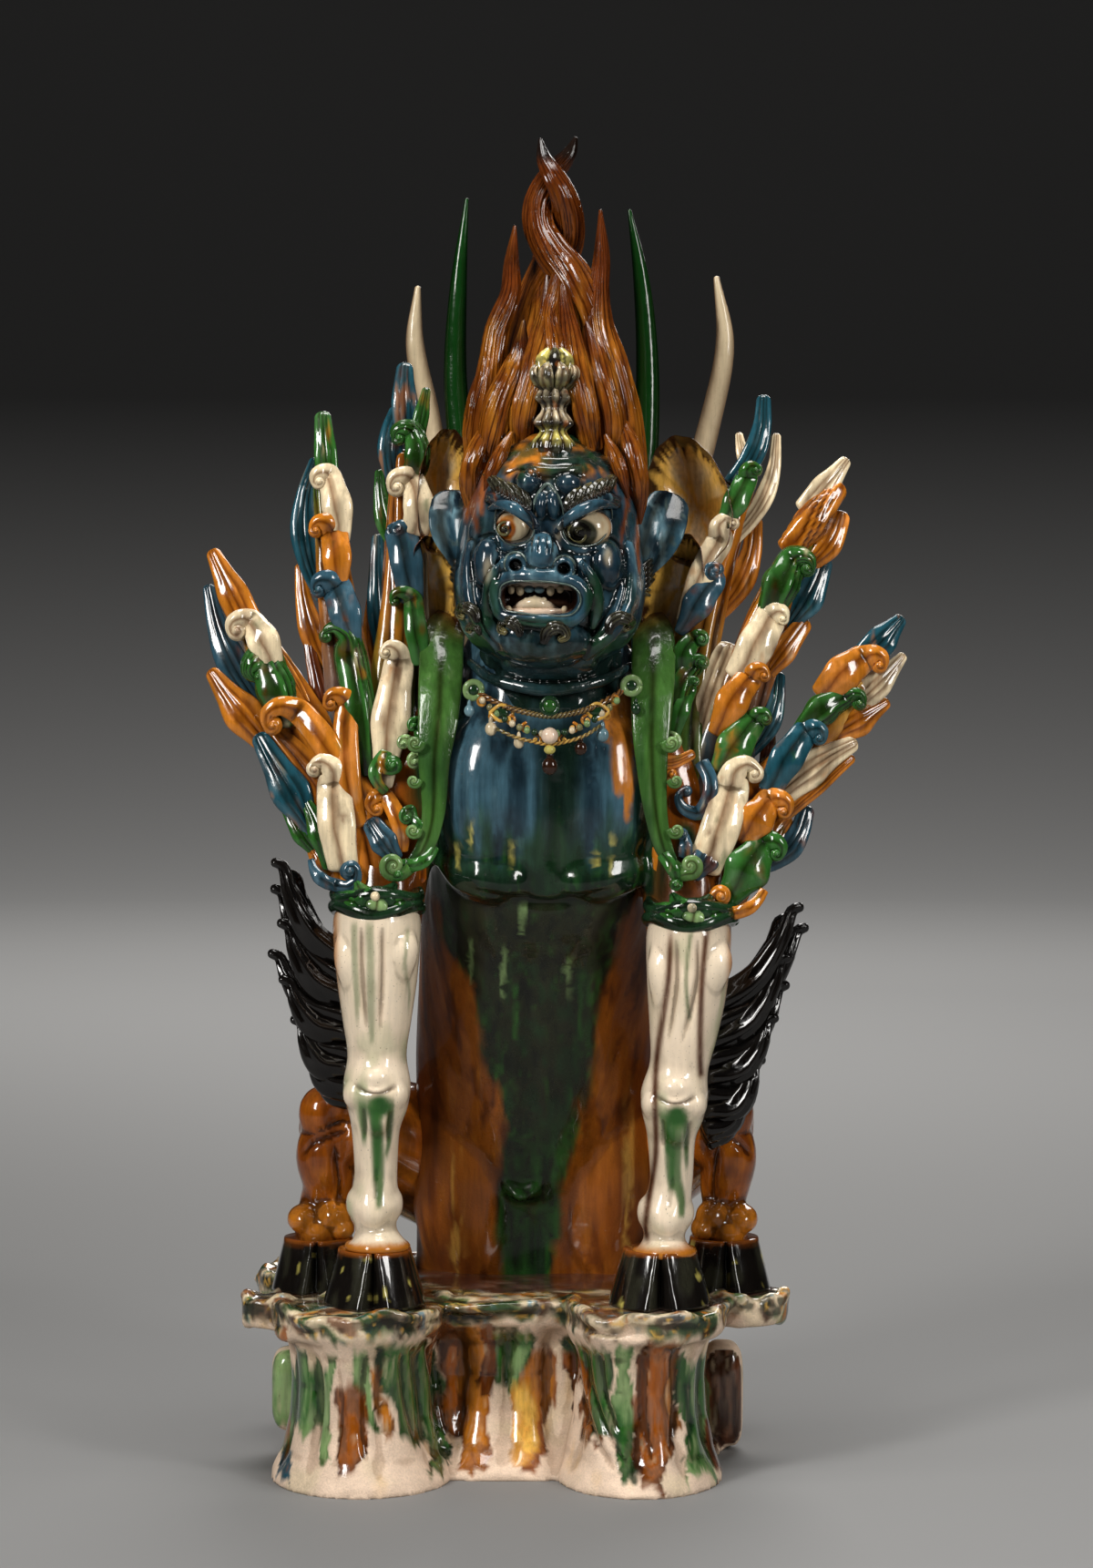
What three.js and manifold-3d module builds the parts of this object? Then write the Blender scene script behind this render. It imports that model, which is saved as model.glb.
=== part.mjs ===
// A tomb guardian: a seated, winged beast with a demon's face, horse-like forelegs and hooves, flaming hair
// and curling flame plumes, on a lobed rocky plinth. Figure and plinth are one hollow body of glazed
// earthenware fired in one piece, so they are one closed solid here.
// Millimetres, +Z up. The beast looks along -Y and its proper right is at -X.
// The origin is the middle of the plinth's flat underside.
import * as THREE from "three";
import { mergeVertices } from "three/addons/utils/BufferGeometryUtils.js";
import Module from "manifold-3d";

const TOTAL_HEIGHT = 927;
const PLINTH_TOP = 127;
const SLAB_THICKNESS = 24;
const CHEST_X = 21;
const HEAD = [24, -66, 640];
const HAIR_AXIS_X = 27;
const TWIST_BOTTOM = 812;
const TWIST_HALF_TURN = 66;
const TWIST_SWING = 12;
const PLUME_FRONT = -70;
const PLUME_ROOT_Z = 400;
const PLUME_LEAN = 0.157;
const LEAF_FLATNESS = 0.68;
const RIDGE_SPREAD = 1.1;
const RIDGE = Math.PI / 2;

const FACING = new THREE.Vector3(0, 1, 0);
const UPWARD = new THREE.Vector3(0, 0, 1);
const wasm = await Module();
wasm.setup();

// One closed geometry as a solid, turned the right way out.
function solidOf(geometry) {
  geometry.deleteAttribute("normal");
  geometry.deleteAttribute("uv");
  const merged = mergeVertices(geometry, 1e-3);
  const corners = new Uint32Array(merged.index.array);
  const build = () =>
    new wasm.Manifold(
      new wasm.Mesh({ numProp: 3, vertProperties: merged.attributes.position.array, triVerts: corners }),
    );
  const first = build();
  if (first.volume() > 0) return first;
  for (let i = 0; i < corners.length; i += 3) {
    const held = corners[i + 1];
    corners[i + 1] = corners[i + 2];
    corners[i + 2] = held;
  }
  return build();
}

// A number from a short list spread evenly over 0..1.
function between(list, u) {
  const place = Math.min(Math.max(u, 0), 1) * (list.length - 1);
  const low = Math.min(Math.floor(place), list.length - 2);
  return list[low] + (list[low + 1] - list[low]) * (place - low);
}

// A rolled length of clay: a sphere's grid drawn out along a curve. Its half-widths and its flatness follow
// the curve, and its two ends are domed by a share of the half-width there.
function roll(points, halves, flatness = 0.62, sides = 6, rings = points.length, options = {}) {
  const { facing = FACING, domes = [0.3, 0.6], phase = 0 } = options;
  const stations = points.map((p) => new THREE.Vector3(...p));
  const curve = new THREE.CatmullRomCurve3(stations, false, "centripetal");
  const geometry = new THREE.SphereGeometry(1, sides, rings + 1);
  const position = geometry.attributes.position;
  const flats = Array.isArray(flatness) ? flatness : [flatness, flatness];
  for (let i = 0; i < position.count; i += 1) {
    const up = Math.min(Math.max(position.getY(i), -1), 1);
    const row = Math.round((Math.acos(-up) / Math.PI) * (rings + 1));
    const u = Math.min(Math.max((row - 1) / (rings - 1), 0), 1);
    const centre = curve.getPoint(u);
    const along = curve.getTangent(u);
    const half = between(halves, u);
    if (row === 0) centre.addScaledVector(along, -half * domes[0]);
    else if (row === rings + 1) centre.addScaledVector(along, half * domes[1]);
    else {
      const across = new THREE.Vector3().crossVectors(along, facing).normalize();
      const deep = new THREE.Vector3().crossVectors(across, along).normalize();
      const turn = Math.atan2(position.getZ(i), position.getX(i)) + phase;
      centre.addScaledVector(across, Math.cos(turn) * half);
      centre.addScaledVector(deep, Math.sin(turn) * half * between(flats, u));
    }
    position.setXYZ(i, centre.x, centre.y, centre.z);
  }
  return solidOf(geometry);
}

// A ball or egg of clay, with its half sizes and an optional turn in degrees.
function lump(centre, halves, turn = [0, 0, 0], sides = 8, rings = 5) {
  const geometry = new THREE.SphereGeometry(1, sides, rings);
  geometry.rotateX(Math.PI / 2);
  geometry.scale(...halves);
  const angles = turn.map((a) => THREE.MathUtils.degToRad(a));
  geometry.applyMatrix4(new THREE.Matrix4().makeRotationFromEuler(new THREE.Euler(...angles)));
  geometry.translate(...centre);
  return solidOf(geometry);
}

// A bead with few faces.
function bead(x, y, z, radius) {
  const geometry = new THREE.OctahedronGeometry(radius * 1.15, 0);
  geometry.translate(x, y, z);
  return solidOf(geometry);
}

function joined(solids) {
  let pile = solids.slice();
  while (pile.length > 1) {
    const next = [];
    for (let i = 0; i < pile.length; i += 2) {
      next.push(i + 1 < pile.length ? pile[i].add(pile[i + 1]) : pile[i]);
    }
    pile = next;
  }
  return pile[0];
}

const plumeDepth = (z) => PLUME_FRONT + (z - PLUME_ROOT_Z) * PLUME_LEAN;

// The leaves and scrolls of the plumes as laid on by hand, seen from the front, in mm. Each row: glaze, foot x,
// foot z, crown x, crown z, sideways bow, half-width, share of it at the foot and at the crown, and depth
// before (-) or behind (+) the slab. A scroll adds the x, z and radius of its curl.
const LEFT_WING = [
  ["teal", -82, 690, -82, 738, -5, 7.5, 0.7, 0.7, 2],
  ["teal", -75, 726, -77, 769, -1, 7.5, 1, 0.6, -2],
  ["green", -68, 722, -62, 754, 0, 4.5, 1, 0.5, -4],
  ["green", -71, 695, -72, 726, 4, 8.5, 0.9, 0.8, -9, -81, 721, 6.3],
  ["cream", -69, 657, -72, 693, 4, 9.5, 0.9, 0.7, -10, -82, 687, 8.2],
  ["green", -78, 636, -95, 697, -4, 6.5, 0.6, 0.3, 10],
  ["blue", -72, 610, -79, 657, 1, 10, 0.8, 1, -7, -81, 657, 5.7],
  ["teal", -87, 551, -96, 651, -3, 7, 0.6, 0.4, 8],
  ["green", -65, 566, -71, 610, 0, 7, 0.8, 0.8, -10, -83, 608, 4.4],
  ["amber", -92, 542, -100, 608, -3, 6.5, 0.4, 0.4, 12],
  ["cream", -91, 482, -80, 568, 0, 12, 0.5, 0.7, -9, -89, 573, 6.3],
  ["green", -130, 689, -134, 735, 0, 6.5, 1, 0.7, 0],
  ["cream", -122, 651, -130, 696, 3, 9.5, 0.7, 0.7, -8, -136, 691, 6.9],
  ["teal", -133, 611, -140, 704, -11, 7.5, 0.7, 0.4, 6],
  ["amber", -124, 618, -126, 657, 2, 9, 0.7, 0.9, -9, -138, 657, 6.3],
  ["amber", -121, 546, -150, 631, -6, 7.5, 0.6, 0.3, 12],
  ["blue", -113, 579, -124, 618, 2, 10, 0.6, 0.9, -9, -136, 616, 6.9],
  ["green", -101, 489, -114, 571, 1, 10.5, 0.4, 1, -7, -131, 584, 5.7],
  ["amber", -109, 455, -116, 539, -3, 8, 0.8, 0.9, -11, -127, 538, 6.9],
  ["amber", -183, 588, -209, 640, 0, 9, 1, 0.4, 0],
  ["cream", -168, 564, -184, 595, 3, 10, 0.7, 0.7, -8, -192, 588, 8.8],
  ["blue", -167, 525, -213, 616, -8, 9, 0.6, 0.3, 8],
  ["green", -159, 524, -174, 569, 2, 13, 0.6, 0.8, -6, -178, 556, 5.7],
  ["amber", -166, 505, -209, 557, -1, 11.5, 0.6, 0.3, 4],
  ["amber", -121, 490, -150, 533, 4, 8.5, 1, 0.9, -12, -167, 523, 8.2],
  ["teal", -133, 440, -175, 512, 0, 11.5, 0.3, 0.4, -3],
  ["cream", -118, 427, -124, 483, -1, 11.5, 0.8, 0.9, -12, -138, 493, 6.9],
  ["green", -127, 426, -144, 471, 2, 7.5, 0.6, 0.3, -8],
  ["blue", -82, 432, -97, 454, 0, 8, 0.6, 0.7, -10],
];
const RIGHT_WING = [
  ["teal", 152, 689, 173, 747, 6, 6.5, 1, 0.6, -2],
  ["cream", 150, 650, 182, 722, 9, 5.5, 0.8, 0.4, 2],
  ["green", 142, 659, 161, 694, 1, 8, 0.5, 0.8, -8, 167, 699, 5.7],
  ["cream", 118, 595, 142, 651, -2, 8, 0.7, 1, -7, 151, 662, 5.7],
  ["amber", 132, 592, 167, 662, 9, 8, 0.6, 0.5, 9],
  ["blue", 114, 587, 137, 623, 0, 9.5, 0.4, 0.8, -9, 139, 630, 6.9],
  ["green", 115, 561, 125, 583, -3, 7, 1, 0.7, -9, 129, 582, 6.3],
  ["green", 112, 527, 124, 564, -5, 8, 0.8, 0.8, -9, 129, 566, 6.3],
  ["cream", 203, 671, 229, 704, 0, 8, 1, 0.4, 0],
  ["amber", 190, 644, 223, 684, 0, 12, 0.7, 0.5, -3],
  ["amber", 202, 632, 226, 665, 4, 7.5, 0.6, 0.7, 2],
  ["green", 177, 602, 193, 637, -1, 12.5, 0.7, 0.7, -8, 202, 631, 7.6],
  ["teal", 186, 587, 213, 633, 3, 9.5, 0.4, 0.6, 4],
  ["cream", 155, 557, 178, 598, 0, 11.5, 0.8, 0.8, -7, 185, 596, 5.7],
  ["amber", 171, 553, 199, 591, 0, 7.5, 0.5, 0.7, 3],
  ["amber", 139, 518, 163, 556, -2, 10.5, 0.5, 0.7, -9, 172, 557, 5.7],
  ["teal", 157, 499, 183, 555, 7, 6.5, 0.6, 0.5, 4],
  ["green", 137, 486, 166, 527, -1, 11.5, 0.4, 0.6, -8, 173, 527, 5.7],
  ["teal", 243, 569, 266, 594, 0, 9, 1, 0.4, -2],
  ["cream", 234, 535, 268, 569, 1, 8, 0.9, 0.3, 2],
  ["amber", 213, 544, 242, 569, -2, 11.5, 0.7, 0.7, -7, 252, 564, 6.9],
  ["green", 198, 519, 229, 542, -3, 10.5, 0.6, 0.6, -7, 238, 538, 6.3],
  ["amber", 219, 515, 256, 537, 0, 9.5, 0.7, 0.3, 3],
  ["blue", 176, 479, 202, 519, -2, 10.5, 0.7, 0.7, -8, 210, 514, 6.3],
  ["cream", 177, 470, 232, 509, -3, 10.5, 0.8, 0.4, 1],
  ["cream", 130, 427, 149, 480, 2, 12, 0.9, 0.9, -11, 165, 490, 8.2],
  ["amber", 156, 445, 176, 472, 0, 11.5, 0.6, 0.6, -8, 185, 464, 6.9],
  ["blue", 168, 425, 201, 462, 7, 7.5, 0.7, 0.6, 5],
  ["green", 147, 405, 172, 443, 0, 14.5, 0.5, 0.5, -7, 180, 435, 6.9],
  ["amber", 117, 394, 107, 485, 4, 17.5, 1, 0.2, 2],
];

// A leaf drawn from its row: a ridged roll that swells from its foot and, on a scroll, ends in a curl.
function leaf(row) {
  const [, footX, footZ, crownX, crownZ, bow, half, foot, crown, offset, curlX, curlZ, curl] = row;
  const run = Math.hypot(crownX - footX, crownZ - footZ);
  const side = [(crownZ - footZ) / run, -(crownX - footX) / run];
  const lift = Math.max(offset, -3 - half * 0.37);
  const station = (t) => {
    const swell = 4 * t * (1 - t) * bow;
    const z = footZ + (crownZ - footZ) * t + side[1] * swell;
    return [footX + (crownX - footX) * t + side[0] * swell, plumeDepth(z) + lift, z];
  };
  const short = curl ? half < 9 : run < 50;
  const points = short ? [station(0), station(1)] : [station(0), station(0.5), station(1)];
  const halves = [half * foot, half, half * crown];
  if (short) halves.splice(0, 3, half * Math.max(foot, 0.8), half * Math.max(crown, 0.6));
  const spread = halves.map((h) => h * RIDGE_SPREAD);
  if (!curl) return roll(points, spread, LEAF_FLATNESS, 3, points.length, { phase: RIDGE });
  const y = plumeDepth(curlZ) + lift;
  points.push([curlX, y - 3, curlZ]);
  spread.push(curl * RIDGE_SPREAD);
  return roll(points, spread, [LEAF_FLATNESS, 1], 3, points.length, { domes: [0.3, 1], phase: RIDGE });
}

const wings = [...LEFT_WING, ...RIGHT_WING].map(leaf);
// The flat slabs that carry the plumes, from each shoulder root to the tips. Each station: x, z, half-width.
const PLUME_SLABS = [
  [[-88, 418, 26], [-84, 520, 21], [-78, 620, 15], [-77, 706, 9]],
  [[-98, 418, 26], [-110, 520, 19], [-126, 620, 13], [-134, 690, 7]],
  [[-106, 426, 24], [-130, 488, 22], [-164, 552, 16], [-188, 600, 7]],
  [[116, 412, 24], [116, 520, 19], [136, 620, 14], [162, 694, 7]],
  [[122, 418, 24], [144, 500, 21], [174, 590, 16], [206, 662, 7]],
  [[128, 414, 24], [162, 462, 19], [204, 508, 15], [240, 548, 7]],
];
const SLAB_DEPTH = 12;
function plumeSlab(stations) {
  const left = [];
  const right = [];
  stations.forEach(([x, z, half], i) => {
    const [ax, az] = stations[Math.max(i - 1, 0)];
    const [bx, bz] = stations[Math.min(i + 1, stations.length - 1)];
    const run = Math.hypot(bx - ax, bz - az);
    const across = new THREE.Vector2((bz - az) / run, (ax - bx) / run).multiplyScalar(half);
    left.push(new THREE.Vector2(x, z).sub(across));
    right.unshift(new THREE.Vector2(x, z).add(across));
  });
  const outline = new THREE.Shape([...left, ...right]);
  const geometry = new THREE.ExtrudeGeometry(outline, { depth: SLAB_DEPTH, bevelEnabled: false, steps: 1 });
  const position = geometry.attributes.position;
  for (let i = 0; i < position.count; i += 1) {
    const z = position.getY(i);
    position.setXYZ(i, position.getX(i), plumeDepth(z) + position.getZ(i) - 4, z);
  }
  return solidOf(geometry);
}
wings.push(...PLUME_SLABS.map(plumeSlab));

// Plinth: flared, waisted columns under one lobed slab with a folded rim.
function column(x, y, halfX, halfY, sides) {
  const profile = [
    [0, 0], [1.02, 0], [0.9, 26], [0.84, 64], [0.9, 104], [0, 104],
  ].map(([r, z]) => new THREE.Vector2(r, z));
  const geometry = new THREE.LatheGeometry(profile, sides);
  geometry.rotateX(Math.PI / 2);
  geometry.scale(halfX, halfY, 1);
  geometry.translate(x, y, 0);
  return solidOf(geometry);
}

const SLAB_LOBES = [
  [-108, -64, 62, 72], [92, -64, 58, 72], [-158, -46, 34, 22], [158, -30, 35, 30],
  [-6, 38, 160, 112], [-152, 66, 36, 46], [142, 74, 38, 44],
];
function slab([x, y, halfX, halfY]) {
  const top = PLINTH_TOP;
  const under = top - SLAB_THICKNESS - 4;
  const outline = [[0, under], [0.92, under], [1, top - 15], [0.95, top], [0, top]];
  const profile = outline.map(([r, z]) => new THREE.Vector2(r, z));
  const geometry = new THREE.LatheGeometry(profile, halfX > 100 ? 12 : 7);
  geometry.rotateX(Math.PI / 2);
  geometry.scale(halfX, halfY, 1);
  geometry.translate(x, y, 0);
  return solidOf(geometry);
}
const rock = new THREE.BoxGeometry(26, 40, 62);
rock.rotateZ(0.18);
rock.translate(150, 34, 32);
const fragment = new THREE.BoxGeometry(34, 34, 54);
fragment.rotateZ(-0.2);
fragment.translate(-152, 26, 45);
const plinth = [
  column(-106, -62, 62, 77, 9),
  column(86, -62, 57, 78, 9),
  column(-6, 42, 150, 106, 10),
  ...SLAB_LOBES.map(slab),
  solidOf(rock),
  solidOf(fragment),
];

// Trunk: it rises from the rump, leans forward into the chest and ends in the neck.
const TRUNK = [
  [11, 80, 116, 84, 62], [11, 82, 160, 82, 62], [12, 76, 215, 79, 64], [13, 52, 300, 75, 68],
  [16, 22, 380, 74, 76], [19, 0, 440, 76, 82], [21, -12, 500, 77, 74], [22, -18, 552, 64, 60],
  [24, -24, 606, 48, 44],
];
const trunk = roll(
  TRUNK.map(([x, y, z]) => [x, y, z]),
  TRUNK.map((row) => row[3]),
  TRUNK.map((row) => row[4] / row[3]),
  10,
  8,
  { domes: [0.1, 0.5] },
);
const body = [
  trunk,
  lump([CHEST_X - 32, -58, 478], [38, 32, 62], [0, 0, 0], 6, 5),
  lump([CHEST_X + 32, -58, 478], [38, 32, 62], [0, 0, 0], 6, 5),
  lump([5, 18, 188], [13, 10, 10], [0, 0, 0], 6, 4),
  roll([[-34, -58, 560], [-10, -80, 549], [24, -88, 544], [58, -80, 549], [84, -56, 560]],
    [9, 10, 10, 10, 9], 0.9, 5, 6, { facing: UPWARD }),
];

// Shoulders and upper forelegs, hidden by the plumes in front.
const SHOULDERS = [
  [[-40, -18, 560], [-64, -30, 500], [-88, -46, 430], [-95, -64, 378]],
  [[86, -18, 560], [104, -30, 500], [116, -46, 430], [121, -64, 370]],
];
for (const points of SHOULDERS) body.push(roll(points, [26, 32, 30, 28], 1, 6, 4));
// Green mantle bands down both sides of the chest, ending in curls.
const MANTLE = [
  [[-48, -34, 588], [-54, -60, 552], [-58, -74, 516], [-58, -80, 478], [-62, -80, 446], [-70, -80, 424]],
  [[94, -34, 588], [94, -60, 552], [93, -74, 516], [93, -80, 478], [98, -80, 444], [106, -80, 424]],
];
for (const points of MANTLE) body.push(roll(points, [14, 15, 12, 8, 6, 5], 0.9, 4, 6));

// Front legs: cuff, knee, cannon, fetlock, pastern, coronet and cloven hoof.
const FRONT_LEGS = [
  [-95, [[-95, -72, 400, 30], [-95, -76, 330, 26], [-95, -78, 294, 22], [-95, -80, 273, 24.5],
    [-96, -77, 248, 19], [-96, -76, 216, 17], [-97, -77, 190, 21], [-96, -78, 177, 15], [-95, -80, 163, 22]]],
  [102, [[121, -72, 392, 29], [117, -76, 318, 25], [113, -78, 286, 22], [110, -80, 266, 24.5],
    [108, -77, 241, 19], [108, -76, 210, 16], [104, -77, 184, 20], [103, -78, 172, 15], [103, -80, 159, 22]]],
];
function hoof(x, y, z, halfTop, halfFoot, height, sides) {
  const profile = [
    [0, 0], [halfFoot, 0], [halfTop, height], [0, height],
  ].map(([r, h]) => new THREE.Vector2(r, h));
  const shell = new THREE.LatheGeometry(profile, sides);
  shell.rotateX(Math.PI / 2);
  shell.scale(1, 1.12, 1);
  shell.translate(x, y, z);
  const cleft = new THREE.ConeGeometry(7, height + 8, 3);
  cleft.rotateX(-Math.PI / 2 - 0.32);
  cleft.rotateX(Math.PI / 2);
  cleft.translate(x, y - halfFoot * 1.1, z + height / 2 - 2);
  return solidOf(shell).subtract(solidOf(cleft));
}
const legs = [];
for (const [hoofX, stations] of FRONT_LEGS) {
  legs.push(roll(stations.map((s) => s.slice(0, 3)), stations.map((s) => s[3]), 1.05, 7, 9));
  const [cuffX, , cuffZ] = stations[0];
  legs.push(lump([cuffX, -74, cuffZ - 2], [34, 34, 10], [0, 0, 0], 8, 3));
  legs.push(hoof(hoofX, -74, PLINTH_TOP - 4, 21, 32, 38, 8));
}
// Hind legs: folded haunch, shank, fetlock lumps and hoof beside each front hoof.
for (const side of [-1, 1]) {
  const kneeX = side < 0 ? -133 : 152;
  const footX = side < 0 ? -139 : 147;
  const hipX = 11 + side * 50;
  const thigh = [[hipX, 98, 184], [hipX + side * 46, 78, 212], [kneeX, 24, 236], [kneeX + side * 2, -8, 224]];
  legs.push(roll(thigh, [44, 47, 36, 22], 1.15, 7, 4));
  legs.push(roll([[kneeX + side * 2, -4, 236], [kneeX, 12, 205], [footX, 6, 180], [footX, -6, 160]],
    [20, 22, 15, 17], 1.1, 5, 4));
  legs.push(lump([footX + 2, -16, 162], [22, 17, 15], [0, 0, 0], 6, 3));
  legs.push(hoof(footX, -12, PLINTH_TOP - 4, 20, 30, 32, 7));
}

// Black hair tufts that flare up behind each elbow.
const TUFT_LOCKS = 5;
for (const side of [-1, 1]) {
  const lift = side < 0 ? 0 : -28;
  for (let i = 0; i < TUFT_LOCKS; i += 1) {
    const t = i / (TUFT_LOCKS - 1);
    const rootZ = 400 + lift - 118 * t;
    const reach = (side < 0 ? 66 : 78) - 28 * t * t + (i % 2) * 6;
    const rise = 44 - 18 * t + (i % 3) * 4;
    const y = -66 + (i % 2) * 8;
    const rootX = side < 0 ? -102 : 122 - 10 * t;
    const middle = [rootX + side * reach * 0.68, y + 6, rootZ];
    const tip = [rootX + side * reach, y + 14, rootZ + rise];
    legs.push(roll([[rootX, y, rootZ - 26], middle, tip], [12, 10, 2], 0.8, 3, 3));
  }
}

// Head: skull, jaw, cheeks, brows, nose, lips, teeth and chin, then the mouth cut out of it.
const [HX, HY, HZ] = HEAD;
const mirrored = (make) => [make(-1), make(1)];
// The skull from chin to crown: x, y, z, half-width and depth as a share of it.
const SKULL = [
  [HX, -84, 565, 34, 0.8], [HX, -78, 584, 57, 0.86], [HX, -73, 612, 66, 0.86], [HX, -68, 642, 64, 0.92],
  [HX, -64, 672, 60, 0.95], [HX, -62, 698, 50, 0.95], [HX, -60, 714, 32, 0.95],
];
const headSolid = joined([
  roll(SKULL.map((row) => row.slice(0, 3)), SKULL.map((row) => row[3]), SKULL.map((row) => row[4]), 9, 7,
    { domes: [0.3, 0.3] }),
  ...mirrored((s) => lump([HX + s * 36, HY - 44, HZ - 10], [20, 17, 26], [0, s * 8, 0], 5, 4)),
  ...mirrored((s) => roll([[HX + s * 9, HY - 52, HZ + 29], [HX + s * 24, HY - 51, HZ + 39],
    [HX + s * 44, HY - 34, HZ + 54]], [8, 11, 6], 1, 4)),
  ...mirrored((s) => lump([HX - 3 + s * 19, HY - 67, HZ - 4], [11, 13, 10], [0, 0, 0], 5, 3)),
  roll([[HX - 3, HY - 46, HZ + 36], [HX - 3, HY - 62, HZ + 18], [HX - 3, HY - 74, HZ + 4],
    [HX - 3, HY - 66, HZ - 6]], [9, 8, 13, 9], 1, 5),
  lump([HX - 4, HY - 52, HZ - 27], [38, 24, 20], [0, 0, 0], 7, 3),
]);
const mouth = lump([HX - 5, HY - 76, HZ - 28], [28, 24, 10], [0, 0, 0], 8, 3);
const head = [
  headSolid.subtract(mouth),
  ...mirrored((s) => lump([HX + s * 24 - 1, HY - 51, HZ + 20], [14, 9, 9], [0, s * -12, 0], 6, 3)),
  roll([[HX - 32, HY - 60, HZ - 26], [HX - 20, HY - 72, HZ - 16], [HX - 4, HY - 77, HZ - 15],
    [HX + 13, HY - 72, HZ - 16], [HX + 26, HY - 60, HZ - 26]], [3, 4, 4.5, 4, 3], 1, 3, 5),
  roll([[HX - 32, HY - 60, HZ - 26], [HX - 22, HY - 70, HZ - 38], [HX - 4, HY - 75, HZ - 40],
    [HX + 14, HY - 70, HZ - 38], [HX + 26, HY - 60, HZ - 26]], [3, 4, 5, 4, 3], 1, 3, 5),
  lump([HX - 6, HY - 60, HZ - 35], [17, 12, 5], [0, 0, 0], 6, 3),
  ...[-19, -8, 2, 11].map((x) => bead(HX + x, HY - 66, HZ - 22, 4.4)),
];
// Curled tufts on the cheeks and chin.
const FACE_CURLS = [[-55, -34, -34, 7], [50, -38, -38, 8], [-28, -54, -50, 7], [9, -58, -54, 7]];
for (const [x, y, z, r] of FACE_CURLS) head.push(bead(HX + x, HY + y, HZ + z, r));

// Ears: a blue leaf in front of a wide cupped shell with a dark rim, above and below on each side.
function cup(centre, halves, turn) {
  const outer = lump(centre, halves, turn, 6, 3);
  const inner = lump([centre[0], centre[1] - halves[1] * 0.75, centre[2]],
    [halves[0] * 0.86, halves[1], halves[2] * 0.86], turn, 5, 3);
  return outer.subtract(inner);
}
head.push(
  cup([-52, -28, 682], [17, 18, 42], [0, 8, 0]), cup([-58, -30, 618], [15, 16, 36], [0, -8, 0]),
  cup([124, -24, 672], [27, 24, 46], [0, -14, 0]), cup([112, -28, 616], [20, 20, 40], [0, 14, 0]),
  roll([[-30, -50, 622], [-48, -58, 645], [-52, -56, 668], [-46, -40, 690]], [4, 11, 12, 5], 0.5, 4, 4),
  roll([[70, -44, 610], [94, -54, 638], [108, -56, 664], [104, -40, 692]], [4, 11, 12, 5], 0.5, 4, 4),
);

// Forehead ornament: stacked tiers, pointed at the top.
const TIERS = [
  [0, 708], [14, 711], [15, 720], [9, 724], [13, 731], [9, 736],
  [16, 743], [11, 752], [13, 759], [8, 766], [0, 782],
];
const ornament = new THREE.LatheGeometry(TIERS.map(([r, z]) => new THREE.Vector2(r, z - 708)), 6);
ornament.rotateX(Math.PI / 2 - 0.14);
ornament.translate(29, -89, 708);
head.push(solidOf(ornament));

// Hair: a tall combed mass, locks laid over it, and two strands that wind round each other to the tip.
const hair = [
  roll([[HAIR_AXIS_X + 1, -2, 560], [HAIR_AXIS_X + 1, -14, 640], [HAIR_AXIS_X + 2, -22, 706],
    [HAIR_AXIS_X + 2, -24, 762], [HAIR_AXIS_X + 1, -22, 806], [HAIR_AXIS_X, -18, 846]],
  [50, 60, 63, 54, 36, 17], 0.86, 9, 6),
];
// Each lock: its half-width, then its stations from foot to tip.
const LOCKS = [
  [11, [-24, -44, 650], [-25, -58, 716], [-15, -60, 778], [-3, -50, 834], [1, -38, 868]],
  [11, [79, -44, 632], [80, -56, 716], [68, -60, 778], [57, -50, 830], [58, -38, 880]],
  [9, [-6, -66, 706], [-9, -70, 740], [-4, -66, 772], [6, -58, 797]],
  [9, [62, -62, 706], [66, -64, 748], [58, -58, 786], [50, -48, 812]],
  [9, [44, -70, 706], [46, -68, 756], [40, -54, 800], [32, -38, 838]],
];
for (const [half, ...points] of LOCKS) {
  hair.push(roll(points, [half, half * 1.1, half, half * 0.7, 1.5], 0.8, 3, 5, { phase: RIDGE }));
}
function strand(turn) {
  const points = [];
  const tip = TOTAL_HEIGHT + 2;
  for (let i = 0; i <= 7; i += 1) {
    const z = TWIST_BOTTOM - 6 + ((tip - TWIST_BOTTOM + 6) * i) / 7;
    const phase = (Math.PI * (z - TWIST_BOTTOM)) / TWIST_HALF_TURN;
    const swing = turn * TWIST_SWING * (i < 2 ? 1.4 : 1);
    points.push([HAIR_AXIS_X + swing * Math.cos(phase), -14 - turn * 11 * Math.sin(phase), z]);
  }
  return roll(points, [15, 15, 12, 9.5, 8.5, 7, 4, 1.2], 0.9, 4, 8);
}
hair.push(strand(1), strand(-1));
// Plain locks down the back of the head.
for (let i = 0; i < 4; i += 1) {
  const a = Math.PI * (0.17 + 0.22 * i);
  const x = HAIR_AXIS_X + Math.cos(a) * 50;
  const y = -20 + Math.sin(a) * 44;
  const top = [HAIR_AXIS_X + Math.cos(a) * 34, -22 + Math.sin(a) * 28, 806];
  const lock = [top, [x, y, 720], [x, y + 4, 640], [x, y, 552]];
  hair.push(roll(lock, [6, 20, 20, 7], 0.7, 3, 4, { phase: -RIDGE }));
}

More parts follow.
